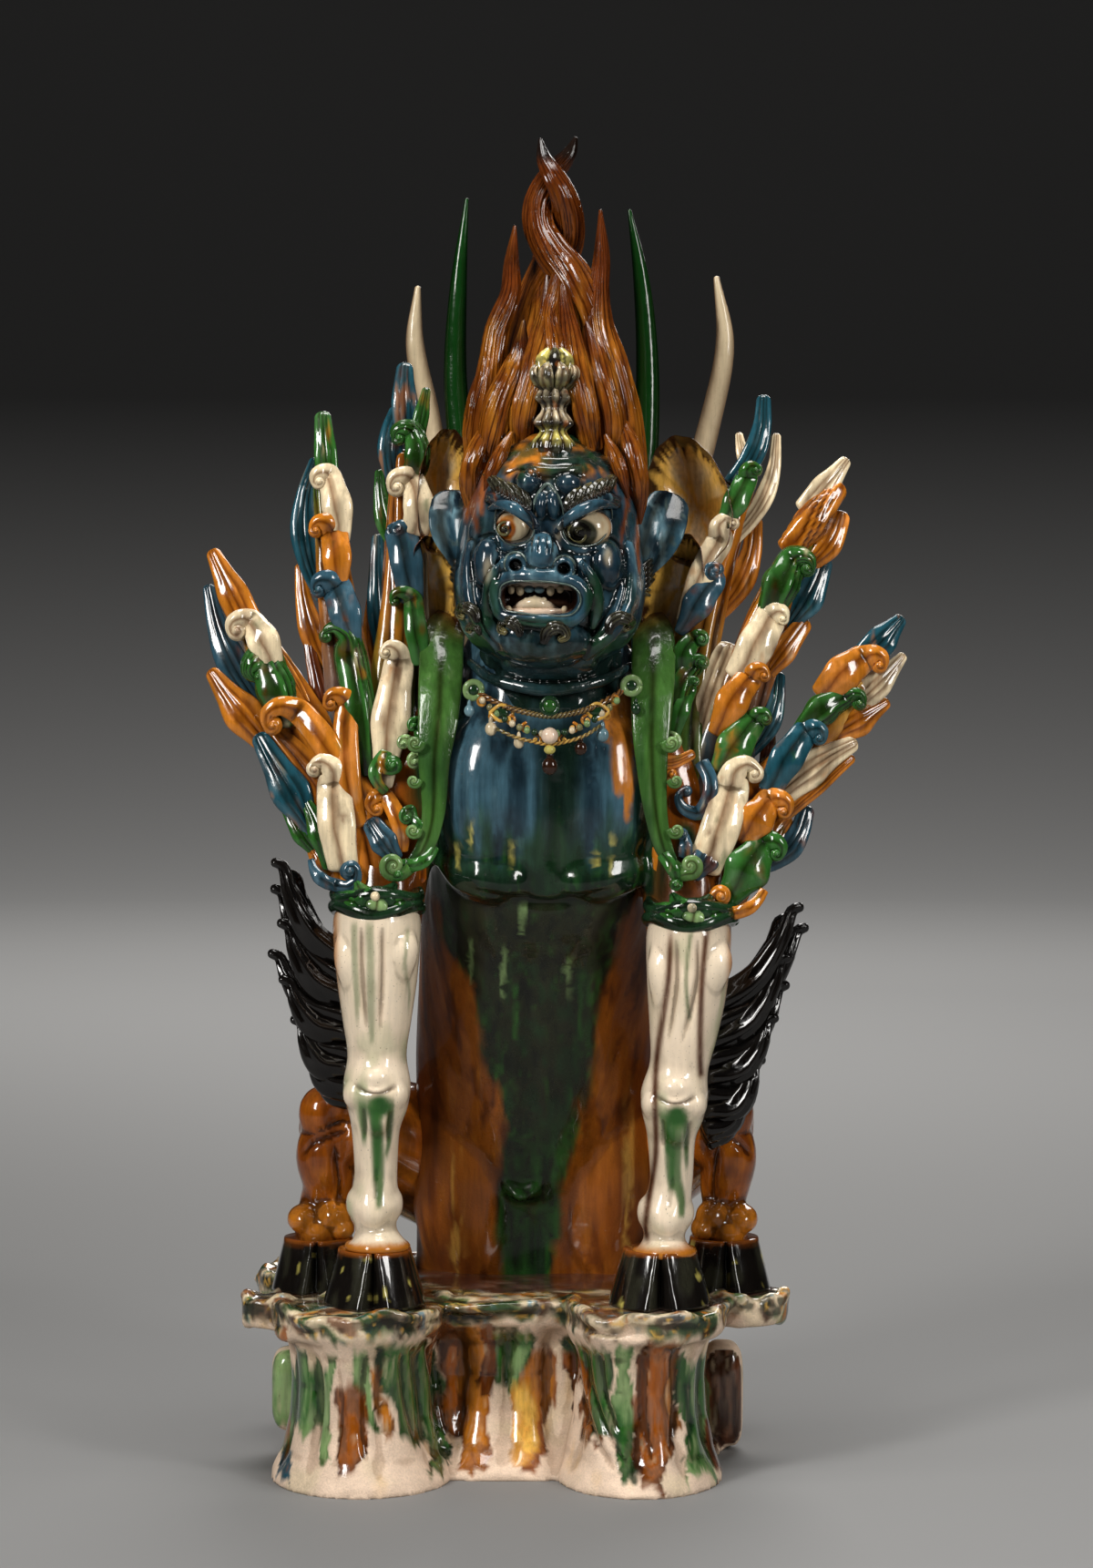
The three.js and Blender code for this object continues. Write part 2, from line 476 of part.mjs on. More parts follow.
// Horn-like spikes that rise from the back of the shoulders: a green pair inside, a cream pair outside.
const SPIKES = [
  [[-12, 22, 540], [-32, 54, 660], [-41, 62, 770], [-40, 60, 830], [-35, 60, 892], 9.5],
  [[66, 22, 540], [88, 54, 660], [94, 62, 770], [91, 60, 830], [81, 60, 884], 9.5],
  [[-22, 18, 530], [-48, 54, 650], [-62, 62, 728], [-72, 60, 780], [-71, 60, 829], 9.5],
  [[78, 18, 530], [114, 54, 640], [138, 62, 726], [147, 60, 780], [143, 60, 836], 9.5],
];
const back = SPIKES.map(([a, b, c, d, e, half]) =>
  roll([a, b, c, d, e], [half * 1.3, half * 1.1, half * 0.9, half * 0.6, 1.2], 0.7, 4, 5));
// A tail laid up the back, and a low mane down the neck.
back.push(
  roll([[11, 140, 118], [-4, 150, 200], [16, 134, 290], [4, 110, 360], [18, 92, 416]],
    [14, 17, 15, 12, 3], 0.8, 6, 5),
  roll([[26, 20, 620], [25, 34, 560], [22, 58, 480], [18, 84, 410]], [20, 22, 16, 6], 0.7, 5, 4),
);

// Necklace: a twisted rope, roundels, drops and a hanging pearl.
const necklace = [
  roll([[-30, -66, 548], [-8, -94, 536], [24, -104, 530], [56, -94, 538], [80, -66, 550]], [4, 4, 4.5, 4, 4],
    1, 3, 6, { facing: UPWARD }),
];
const DROPS = [
  [-26, 545, 7], [80, 548, 7], [24, 535, 9], [-9, 530, 6], [55, 531, 6], [-13, 520, 6], [3, 512, 6],
  [57, 518, 6], [42, 508, 6], [24, 520, 7], [24, 508, 7], [24, 496, 8],
];
for (const [x, z, r] of DROPS) {
  const y = (z < 533 ? -84 : -90) + ((x - 24) * (x - 24)) / 110;
  necklace.push(bead(x, y, z, r));
}

const figure = joined([...plinth, ...body, ...legs, ...wings, ...head, ...hair, ...back, ...necklace]);
// The outer skin alone: small spaces shut in between overlapping rolls are filled.
const skins = figure.decompose().sort((a, b) => b.volume() - a.volume());
const mesh = skins[0].getMesh();
const surface = new THREE.BufferGeometry();
surface.setAttribute("position", new THREE.BufferAttribute(new Float32Array(mesh.vertProperties), 3));
surface.setIndex(new THREE.BufferAttribute(new Uint32Array(mesh.triVerts), 1));
surface.computeVertexNormals();

const glaze = new THREE.MeshStandardMaterial({ color: 0x6b5a2e, roughness: 0.22, metalness: 0 });
const guardian = new THREE.Mesh(surface, glaze);
guardian.name = "tomb_guardian";

const root = new THREE.Group();
root.add(guardian);
export default root;
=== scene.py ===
import functools
import itertools
from math import atan2, cos, hypot, pi, radians, sin, sqrt

import bmesh
import bpy
import numpy as np
from bpy.props import FloatProperty, FloatVectorProperty, PointerProperty
from mathutils import Euler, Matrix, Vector
from mathutils.bvhtree import BVHTree


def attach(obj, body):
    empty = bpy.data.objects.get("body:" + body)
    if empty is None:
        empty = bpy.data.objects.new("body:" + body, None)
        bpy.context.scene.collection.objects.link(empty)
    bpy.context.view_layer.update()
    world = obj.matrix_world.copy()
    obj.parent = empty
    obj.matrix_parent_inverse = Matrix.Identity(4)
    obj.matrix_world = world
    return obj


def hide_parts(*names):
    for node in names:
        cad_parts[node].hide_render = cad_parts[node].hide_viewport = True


bl_info = {
    "name": "Tomb guardian",
    "version": (1, 0, 0),
    "blender": (4, 5, 0),
    "location": "View3D > Sidebar > Guardian",
    "description": "Models and glazes a tomb guardian figure on its plinth",
    "category": "Object",
}

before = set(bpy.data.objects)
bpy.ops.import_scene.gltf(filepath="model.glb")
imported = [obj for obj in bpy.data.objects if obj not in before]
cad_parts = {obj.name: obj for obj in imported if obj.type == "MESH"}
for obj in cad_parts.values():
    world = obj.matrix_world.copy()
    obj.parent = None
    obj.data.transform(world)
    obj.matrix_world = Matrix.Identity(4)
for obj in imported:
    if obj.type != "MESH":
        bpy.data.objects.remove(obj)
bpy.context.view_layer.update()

MM = 0.001
NODE = "tomb_guardian"
PLINTH_TOP = 127
FACE_X = 19
CHEST_X = 21
HAIR_X = 28
PLUME_FRONT = -70
PLUME_ROOT_Z = 400
PLUME_LEAN = 0.157
FRONT_BACK = np.array([0.0, 1.0, 0.0])
UPWARD = np.array([0.0, 0.0, 1.0])
# Rows in each rounded end of a roll.
CAP_ROWS = 4
# Share of the way that a vertex moves to its neighbours' mean, and share of that it is moved back.
RELAX_STEP = 0.5
RELAX_HOLD = 0.52
# Large odd numbers that scatter neighbouring cells of noise: for x, y, z, the seed and the result.
SCATTER = (73856093, 19349663, 83492791, 2654435761, 1274126177)


# Numbers, noise and curves.


def soft(low, high, value):
    """0 below low, 1 above high, and a soft step between them."""
    share = np.clip((value - low) / (high - low), 0, 1)
    return share * share * (3 - 2 * share)


def noise(places, scale, seed=0):
    """Soft noise from 0 to 1. The scale is the size of a blotch in mm, one number or one for each axis."""
    cell = np.asarray(places, float) / np.asarray(scale, float) + seed * 7.31
    base = np.floor(cell).astype(np.int64)
    part = cell - base
    part = part * part * (3 - 2 * part)
    total = np.zeros(len(cell))
    for corner in itertools.product((0, 1), repeat=3):
        x, y, z = (base + corner).T
        key = (x * SCATTER[0]) ^ (y * SCATTER[1]) ^ (z * SCATTER[2]) ^ (seed * SCATTER[3])
        key = (key ^ (key >> 13)) * SCATTER[4]
        value = ((key ^ (key >> 16)) & 0xFFFF) / 65535
        total += value * np.prod(np.where(corner, part, 1 - part), axis=1)
    return total


def rough_noise(places, scale, seed=0):
    """Noise with a finer one laid over it."""
    scale = np.asarray(scale, float)
    return 0.65 * noise(places, scale, seed) + 0.35 * noise(places, scale * 0.43, seed + 11)


def bell(value, middle, width):
    return np.exp(-(((value - middle) / width) ** 2))


def eased(knots, slopes, low, s, gap=1.0):
    """Smooth values between the knots, a share s past each low one."""
    near = (2 * s**3 - 3 * s**2 + 1) * knots[low] + (s**3 - 2 * s**2 + s) * gap * slopes[low]
    return near + (3 * s**2 - 2 * s**3) * knots[low + 1] + (s**3 - s**2) * gap * slopes[low + 1]


def course(points, count):
    """Even steps along a smooth curve through the points: places, directions and share of the stations."""
    knots = np.array(points, float)
    gaps = np.sqrt(np.linalg.norm(np.diff(knots, axis=0), axis=1))
    time = np.concatenate([[0], np.cumsum(gaps)])
    slopes = np.gradient(knots, time, axis=0)
    fine = np.linspace(0, len(knots) - 1, 24 * (len(knots) - 1) + 1)
    low = np.minimum(fine.astype(int), len(knots) - 2)
    s = (fine - low)[:, None]
    gap = (time[low + 1] - time[low])[:, None]
    places = eased(knots, slopes, low, s, gap)
    run = np.concatenate([[0], np.cumsum(np.linalg.norm(np.diff(places, axis=0), axis=1))])
    even = np.linspace(0, run[-1], count)
    centre = np.stack([np.interp(even, run, places[:, k]) for k in range(3)], axis=1)
    along = np.gradient(centre, even, axis=0)
    along /= np.linalg.norm(along, axis=1)[:, None]
    return centre, along, np.interp(even, run, fine) / (len(knots) - 1), run[-1]


def spread(values, share):
    """A short list of numbers or colours laid evenly over 0..1 and read smoothly at each share."""
    values = np.atleast_1d(np.asarray(values, float))
    if len(values) == 1:
        return np.repeat(values, len(share), axis=0)
    place = np.clip(share, 0, 1) * (len(values) - 1)
    low = np.minimum(place.astype(int), len(values) - 2)
    s = place - low
    if values.ndim > 1:
        return values[low] + (values[low + 1] - values[low]) * s[:, None]
    return np.maximum(eased(values, np.gradient(values), low, s), values.min() * 0.9)


def plume_depth(z):
    return PLUME_FRONT + (z - PLUME_ROOT_Z) * PLUME_LEAN


# Sections: how far out the clay stands round a roll, and how deep its lines are.


def off_front(turn):
    """How far round a roll a place is from its front."""
    return np.abs(np.angle(np.exp(1j * (turn - pi / 2))))


def combed(count, depth, sharp=3.0, wander=0.0, twist=0.0):
    """Lines combed along a roll."""

    def section(turn, share):
        phase = turn + wander * np.sin(5.3 * share + 2.1 * turn) + twist * share
        line = (0.5 + 0.5 * np.cos(count * phase)) ** sharp
        return 1 - depth * line, line

    return section


def veined(vein, rim=0.0, flutes=0, flute=0.0):
    """A leaf's front: a fine line down the middle, a raised rim and fine flutes."""

    def section(turn, share):
        away = off_front(turn)
        line = bell(away, 0, 0.2) * soft(0.02, 0.2, share)
        out = 1 - vein * line + rim * bell(away, 1.15, 0.28)
        if flutes:
            phase = (turn - pi / 2) * flutes * 2 + 0.5 * np.sin(share * 9)
            wave = (0.5 + 0.5 * np.cos(phase + pi * (flutes % 2))) ** 4 * (away < 1.7)
            out -= flute * wave
            line = np.maximum(line, 0.8 * wave)
        return out, line

    return section


def dished(depth, rim):
    """A leaf hollowed in front, with a raised rim."""

    def section(turn, share):
        away = off_front(turn)
        out = 1 - depth * np.exp(-((away / 0.85) ** 4)) + rim * bell(away, 1.2, 0.22)
        return out, bell(away, 0.9, 0.16)

    return section


def squarish(power):
    """A roll with broad sides instead of a round section."""

    def section(turn, share):
        reach = np.abs(np.cos(turn)) ** power + np.abs(np.sin(turn)) ** power
        return reach ** (-1 / power), 0.0 * turn

    return section


@functools.cache
def ball_shape(sides, rings):
    """A ball's mesh, its vertices, and each one's turn and row from the lower pole."""
    shape = bmesh.new()
    bmesh.ops.create_uvsphere(shape, u_segments=sides, v_segments=rings + 1, radius=1.0)
    mesh = bpy.data.meshes.new("ball")
    shape.to_mesh(mesh)
    shape.free()
    unit = np.zeros(len(mesh.vertices) * 3, np.float32)
    mesh.vertices.foreach_get("co", unit)
    unit = unit.reshape(-1, 3).astype(float)
    row = np.rint(np.arccos(np.clip(-unit[:, 2], -1, 1)) / pi * (rings + 1)).astype(int)
    return mesh, unit, np.arctan2(unit[:, 1], unit[:, 0]), row


def placed(unit, centre, halves, turn):
    """A unit shape given its half sizes, turned by degrees and put in its place."""
    turned = np.array(Euler([radians(a) for a in turn]).to_matrix())
    return unit * halves @ turned.T + centre


def tint(name):
    """A glaze colour from the settings, by name."""
    return np.array(getattr(bpy.context.scene.guardian_glazes, name)[:3], float)


def tints(names):
    """One colour or a list of colours along a roll, by name."""
    if isinstance(names, str):
        return tint(names)[None, :]
    return np.array([tint(n) for n in names])


def layered(base, *layers):
    """Glazes laid over one another on a base: each layer's name and mask."""
    colour = tint(base)
    for glaze, mask in layers:
        mask = mask[:, None]
        colour = colour * (1 - mask) + tint(glaze) * mask
    return colour


def rebuilt(mesh, kind, **settings):
    """The mesh after one modifier."""
    holder = bpy.data.objects.new("holder", mesh)
    bpy.context.collection.objects.link(holder)
    modifier = holder.modifiers.new(kind, kind)
    for key, value in settings.items():
        setattr(modifier, key, value)
    depsgraph = bpy.context.evaluated_depsgraph_get()
    whole = bpy.data.meshes.new_from_object(holder.evaluated_get(depsgraph))
    bpy.data.objects.remove(holder)
    return whole


class Clay:
    """The raw shapes of one piece: balls of clay drawn out, with a glaze and lines at every vertex."""

    def __init__(self):
        self.pile = bmesh.new()
        self.colours = []
        self.lines = []

    def add(self, mesh, places, colour, line=0.0):
        part = mesh.copy()
        part.vertices.foreach_set("co", (places * MM).astype(np.float32).ravel())
        self.pile.from_mesh(part)
        bpy.data.meshes.remove(part)
        self.colours.append(np.broadcast_to(colour, (len(places), 3)))
        self.lines.append(np.broadcast_to(line, len(places)))

    def roll(self, glaze, points, halves, flat=0.62, sides=24, rings=16, facing=FRONT_BACK,
            domes=(0.5, 0.9), section=None):
        """A rolled length of clay along a curve, with rounded ends. Its front is at a quarter turn."""
        mesh, _, turn, row = ball_shape(sides, rings + 2 * CAP_ROWS)
        centre, along, share, _ = course(points, rings)
        half = spread(halves, share)
        quarter = np.arange(CAP_ROWS + 1) / (CAP_ROWS + 1) * pi / 2
        start = centre[0] - along[0] * (half[0] * domes[0] * np.cos(quarter))[:, None]
        finish = (centre[-1] + along[-1] * (half[-1] * domes[1] * np.cos(quarter))[:, None])[::-1]
        centre = np.vstack([start, centre, finish])
        along = np.vstack([[along[0]] * (CAP_ROWS + 1), along, [along[-1]] * (CAP_ROWS + 1)])
        half = np.concatenate([half[0] * np.sin(quarter), half, (half[-1] * np.sin(quarter))[::-1]])
        share = np.concatenate([np.zeros(CAP_ROWS + 1), share, np.ones(CAP_ROWS + 1)])
        across = np.cross(along, facing)
        across /= np.linalg.norm(across, axis=1)[:, None] + 1e-9
        deep = np.cross(along, across)
        thick = half * spread(flat, share)
        out, line = section(turn, share[row]) if section else (1.0, 0.0)
        places = centre[row] + across[row] * (np.cos(turn) * half[row] * out)[:, None]
        places += deep[row] * (np.sin(turn) * thick[row] * out)[:, None]
        self.add(mesh, places, spread(tints(glaze), share[row]), line)

    def lump(self, glaze, centre, halves, sides=28, rings=18, turn=(0, 0, 0)):
        """A ball or egg of clay, turned by degrees."""
        mesh, unit, _, _ = ball_shape(sides, rings)
        self.add(mesh, placed(unit, centre, halves, turn), tints(glaze))

    def source(self):
        """The pile as one mesh, with its colours and lines."""
        mesh = bpy.data.meshes.new("pile")
        self.pile.to_mesh(mesh)
        return mesh, np.vstack(self.colours), np.concatenate(self.lines)

    def plain(self, keep=1.0):
        """The pile as it is, for thin pieces with fine lines, thinned to a share of its faces."""
        skin = Skin(*self.source())
        self.pile.free()
        return skin.thinned(keep)

    def fused(self, grain, rounds):
        """The pile as one skin of even grain in mm, with the glaze and lines of what lies nearest."""
        mesh, colours, lines = self.source()
        skin = Skin(rebuilt(mesh, "REMESH", mode="VOXEL", voxel_size=grain * MM))
        skin.relax(rounds)
        tree = BVHTree.FromBMesh(self.pile)
        spots = skin.places.copy()
        spots[:, 0] += (noise(spots, 4, 4) - 0.5) * 2
        nearest = tree.find_nearest
        hits = np.array([nearest(p)[2] for p in (spots * MM).tolist()])
        corners = np.array([[f.vertices[k % len(f.vertices)] for k in range(4)] for f in mesh.polygons])
        held = np.zeros(len(mesh.vertices) * 3, np.float32)
        mesh.vertices.foreach_get("co", held)
        held = held.reshape(-1, 3) / MM
        chosen = corners[hits]
        near = 1 / (np.linalg.norm(held[chosen] - spots[:, None], axis=2) ** 2 + 0.05)
        near /= near.sum(axis=1)[:, None]
        skin.colours = (colours[chosen] * near[..., None]).sum(axis=1)
        skin.lines = (lines[chosen] * near).sum(axis=1)
        bpy.data.meshes.remove(mesh)
        self.pile.free()
        return skin


class Skin:
    """The finished surface of a piece in mm: it can be relaxed, pressed with tools and glazed."""

    def __init__(self, mesh, colours=None, lines=None):
        self.mesh = mesh
        count = len(mesh.vertices)
        flat = np.zeros(count * 3, np.float32)
        mesh.vertices.foreach_get("co", flat)
        self.places = flat.reshape(-1, 3).astype(float) / MM
        edges = np.zeros(len(mesh.edges) * 2, np.int32)
        mesh.edges.foreach_get("vertices", edges)
        self.edges = edges.reshape(-1, 2)
        self.degree = np.bincount(self.edges.ravel(), minlength=count).clip(1)
        self.colours = colours if colours is not None else np.zeros((count, 3))
        self.lines = lines if lines is not None else np.zeros(count)
        self.bare = np.zeros(count)

    def store(self):
        """Writes the places, colours and masks into the mesh."""
        self.normals()
        rgba = np.concatenate([self.colours, np.ones((len(self.colours), 1))], axis=1)
        layers = (("glaze", "FLOAT_COLOR", "color", rgba), ("line", "FLOAT", "value", self.lines),
            ("bare", "FLOAT", "value", self.bare))
        for name, kind, field, values in layers:
            layer = self.mesh.attributes.get(name) or self.mesh.attributes.new(name, kind, "POINT")
            layer.data.foreach_set(field, values.astype(np.float32).ravel())

    def thinned(self, keep):
        """The skin with a share of its faces, fewer where it is flat."""
        if keep >= 1:
            return self
        self.store()
        mesh = rebuilt(self.mesh, "DECIMATE", ratio=keep)
        bpy.data.meshes.remove(self.mesh)
        rgba = np.zeros(len(mesh.vertices) * 4, np.float32)
        mesh.attributes["glaze"].data.foreach_get("color", rgba)
        lines = np.zeros(len(mesh.vertices), np.float32)
        mesh.attributes["line"].data.foreach_get("value", lines)
        return Skin(mesh, rgba.reshape(-1, 4)[:, :3].astype(float), lines.astype(float))

    def rough(self, scale, seed):
        return rough_noise(self.places, scale, seed)

    def around(self, values):
        """The mean of each vertex's neighbours."""
        a, b = self.edges.T
        values = values.reshape(len(values), -1)
        count = len(values)
        total = [np.bincount(a, v[b], count) + np.bincount(b, v[a], count) for v in values.T]
        return (np.array(total) / self.degree).T

    def relax(self, rounds):
        """Smooths the surface and gives most of the lost size back."""
        for _ in range(rounds):
            self.places += RELAX_STEP * (self.around(self.places) - self.places)
            self.places -= RELAX_HOLD * RELAX_STEP * (self.around(self.places) - self.places)

    def blur(self, rounds):
        """Lets neighbouring glazes run into each other."""
        for _ in range(rounds):
            self.colours = 0.5 * self.colours + 0.5 * self.around(self.colours)

    def normals(self):
        self.mesh.vertices.foreach_set("co", (self.places * MM).astype(np.float32).ravel())
        self.mesh.update()
        flat = np.zeros(len(self.places) * 3, np.float32)
        self.mesh.vertex_normals.foreach_get("vector", flat)
        return flat.reshape(-1, 3).astype(float)

    def stroke(self, path, width, depth, ends=0.25, glaze=None, ink=0.0):
        """A line drawn over the front with a tool, seen as x and z. A negative depth raises it."""
        normal = self.normals()
        corners = [(x, 0.0, z) for x, z in path]
        count = int(course(corners, 20)[3] / width * 1.6) + 12
        line, _, share, _ = course(corners, count)
        reach = width * 3
        low = line.min(axis=0) - reach
        high = line.max(axis=0) + reach
        near = (self.places[:, 0] > low[0]) & (self.places[:, 0] < high[0])
        near &= (self.places[:, 2] > low[2]) & (self.places[:, 2] < high[2])
        near &= normal[:, 1] < 0.1
        index = np.flatnonzero(near)
        if not len(index):
            return
        flat = self.places[index][:, [0, 2]]
        gap = np.linalg.norm(flat[:, None] - line[None][:, :, [0, 2]], axis=2)
        where = gap.argmin(axis=1)
        fade = soft(0, ends, share[where]) * soft(0, ends, 1 - share[where]) if ends else 1.0
        mask = bell(gap.min(axis=1), 0, width) * fade
        self.places[index] -= normal[index] * (depth * mask)[:, None]
        self.lines[index] = np.maximum(self.lines[index], mask * ink)
        if glaze:
            self.dab(index, glaze, mask)

    def strokes(self, lines, ends=0.25):
        for width, depth, path in lines:
            self.stroke(path, width, depth, ends)

    def dab(self, index, glaze, mask):
        mask = np.clip(mask, 0, 1)[:, None]
        self.colours[index] = self.colours[index] * (1 - mask) + tint(glaze) * mask

    def wash(self, glaze, mask):
        """Lays a glaze over the whole skin where the mask is high."""
        self.dab(slice(None), glaze, mask)

    def mottle(self, glaze, scale, seed, low, high, strength):
        """Lays a glaze over the whole skin in blotches of rough noise between low and high."""
        self.wash(glaze, soft(low, high, self.rough(scale, seed)) * strength)

    def front(self):
        """A function for how far forward the skin reaches at a place seen from the front."""
        self.normals()
        shape = bmesh.new()
        shape.from_mesh(self.mesh)
        tree = BVHTree.FromBMesh(shape)
        shape.free()

        def reach(x, z):
            hit = tree.ray_cast(Vector((x * MM, -1.0, z * MM)), Vector((0, 1, 0)))[0]
            return hit.y / MM if hit else 0.0

        return reach

    def pocket(self, centre, halves, depth, square=2.0):
        """Pushes the front in behind a rounded opening, seen as x and z."""
        gap = np.abs((self.places[:, [0, 2]] - centre) / halves)
        inside = (gap**square).sum(axis=1) ** (1 / square)
        front = self.normals()[:, 1] < 0.35
        self.places[:, 1] += depth * (soft(1.0, 0.8, inside) * front)

    def piece(self, name, glaze, *finish, slot="sancai_glaze", **more):
        """Writes the skin out as a glazed object that stands for the figure's node."""
        normal = self.normals()
        near = self.places
        pool = 0
        for rounds, gain in ((2, 5.0), (8, 2.6)):
            for _ in range(rounds):
                near = self.around(near)
            pool = pool + np.clip(((near - self.places) * normal).sum(axis=1) * gain, -0.8, 0.8)
        self.store()
        self.mesh.name = name
        self.mesh.polygons.foreach_set("use_smooth", [True] * len(self.mesh.polygons))
        layer = self.mesh.attributes.new("pool", "FLOAT", "POINT")
        layer.data.foreach_set("value", np.clip(pool, -1, 1).astype(np.float32))
        self.mesh.materials.clear()
        self.mesh.materials.append(glaze_material(glaze, *finish, **more))
        found = bpy.data.objects.new(name, self.mesh)
        bpy.context.collection.objects.link(found)
        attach(found, "root")
        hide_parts(NODE)
        return found


# Shaders.


class Nodes:
    """A shader's nodes, and short ways to add to them. A socket takes a number, a colour or a socket."""

    def __init__(self, tree):
        self.tree = tree

    def join(self, value, socket):
        if isinstance(value, (int, float, tuple)):
            socket.default_value = value
        else:
            self.tree.links.new(value, socket)

    def add(self, kind, inputs=(), **settings):
        """A node with its settings, and its inputs by name or number."""
        made = self.tree.nodes.new("ShaderNode" + kind)
        for key, value in settings.items():
            setattr(made, key, value)
        for key, value in dict(inputs).items():
            self.join(value, made.inputs[key])
        return made

    def place(self):
        return self.add("TexCoord").outputs["Object"]

    def attribute(self, name, output="Fac"):
        return self.add("Attribute", attribute_name=name).outputs[output]

    def math(self, operation, a, b, clamp=False):
        return self.add("Math", enumerate((a, b)), operation=operation, use_clamp=clamp).outputs[0]

    def mix(self, blend, amount, a, b):
        return self.add("Mix", {0: amount, 6: a, 7: b}, data_type="RGBA", blend_type=blend).outputs[2]

    def noise(self, vector, scale, detail, rough):
        names = ("Vector", "Scale", "Detail", "Roughness")
        return self.add("TexNoise", zip(names, (vector, scale, detail, rough))).outputs[0]

    def range(self, value, low, high, to_low=0.0, to_high=1.0):
        names = ("Value", "From Min", "From Max", "To Min", "To Max")
        return self.add("MapRange", zip(names, (value, low, high, to_low, to_high)), clamp=True).outputs[0]

    def lit(self, colour, value):
        return self.add("HueSaturation", {"Color": colour, "Value": value}).outputs[0]


def shader_group(name, **inputs):
    """A node group with named inputs that puts out a colour, a roughness and a height."""
    group = bpy.data.node_groups.new(name, "ShaderNodeTree")
    for label, value in inputs.items():
        kind = "NodeSocketColor" if isinstance(value, tuple) else "NodeSocketFloat"
        group.interface.new_socket(label, in_out="INPUT", socket_type=kind).default_value = value
    for label, kind in (("Color", "Color"), ("Roughness", "Float"), ("Height", "Float")):
        group.interface.new_socket(label, in_out="OUTPUT", socket_type="NodeSocket" + kind)
    return Nodes(group), group.nodes.new("NodeGroupInput").outputs, group.nodes.new("NodeGroupOutput").inputs


@functools.cache
def flowing_glaze():
    """Lead glaze that has run down: streaks, darker pools, thin ridges, iron specks and pinholes."""
    nodes, given, result = shader_group("flowing_glaze", Color=(0.5, 0.5, 0.5, 1), Pool=0.0, Line=0.0,
        Streaks=0.5, Thin=0.5, Specks=0.5, Pooling=0.75)
    place = nodes.place()
    drawn_out = nodes.add("Mapping", {"Vector": place, "Scale": (1.0, 1.0, 0.09)}).outputs[0]
    fine = nodes.noise(drawn_out, 420.0, 4.0, 0.6)
    broad = nodes.noise(drawn_out, 110.0, 3.0, 0.55)
    cloud = nodes.noise(place, 60.0, 4.0, 0.6)
    streak = nodes.math("ADD", nodes.range(fine, 0.3, 0.7, -0.5, 0.5),
        nodes.range(broad, 0.3, 0.7, -0.5, 0.5))
    streak = nodes.math("ADD", streak, nodes.range(cloud, 0.3, 0.7, -0.35, 0.35))
    streak = nodes.math("MULTIPLY", streak, given["Streaks"])
    colour = nodes.lit(given["Color"], nodes.math("ADD", 1.0, streak))
    ridge = nodes.math("MULTIPLY", nodes.range(given["Pool"], -0.15, -0.75), given["Thin"], True)
    thin = nodes.mix("MIX", ridge, colour, nodes.lit(colour, 1.45))
    deep = nodes.math("MULTIPLY", nodes.range(given["Pool"], 0.1, 0.9), given["Pooling"], True)
    pooled = nodes.mix("MULTIPLY", deep, thin, (0.16, 0.13, 0.09, 1))
    inked = nodes.mix("MULTIPLY", nodes.math("MULTIPLY", given["Line"], 0.85), pooled, (0.2, 0.1, 0.05, 1))
    spots = nodes.range(nodes.noise(place, 900.0, 1.0, 0.4), 0.72, 0.78)
    speck = nodes.math("MULTIPLY", spots, given["Specks"], True)
    nodes.join(nodes.mix("MIX", speck, inked, (0.03, 0.018, 0.01, 1)), result["Color"])
    nodes.join(nodes.range(cloud, 0.3, 0.75, 0.1, 0.24), result["Roughness"])
    swell = nodes.math("ADD", cloud, nodes.math("MULTIPLY", fine, 0.25))
    nodes.join(nodes.math("ADD", swell, nodes.math("MULTIPLY", speck, -0.35)), result["Height"])
    return nodes.tree


@functools.cache
def fired_clay():
    """Bare pinkish clay: blotches, fine grains, and darker colour in its hollows."""
    nodes, given, result = shader_group("fired_clay", Color=(0.6, 0.45, 0.33, 1), Pool=0.0)
    place = nodes.place()
    blotch = nodes.noise(place, 45.0, 5.0, 0.65)
    grain = nodes.noise(place, 700.0, 3.0, 0.6)
    tone = nodes.math("ADD", nodes.range(blotch, 0.3, 0.7, 0.8, 1.12),
        nodes.range(grain, 0.3, 0.7, -0.1, 0.1))
    hollow_darkening = nodes.math("MULTIPLY", nodes.range(given["Pool"], 0.1, 0.8), 0.35)
    nodes.join(nodes.mix("MULTIPLY", hollow_darkening, nodes.lit(given["Color"], tone), (0.35, 0.25, 0.17, 1)),
        result["Color"])
    nodes.join(nodes.range(grain, 0.3, 0.7, 0.55, 0.8), result["Roughness"])
    nodes.join(nodes.math("ADD", grain, blotch), result["Height"])
    return nodes.tree


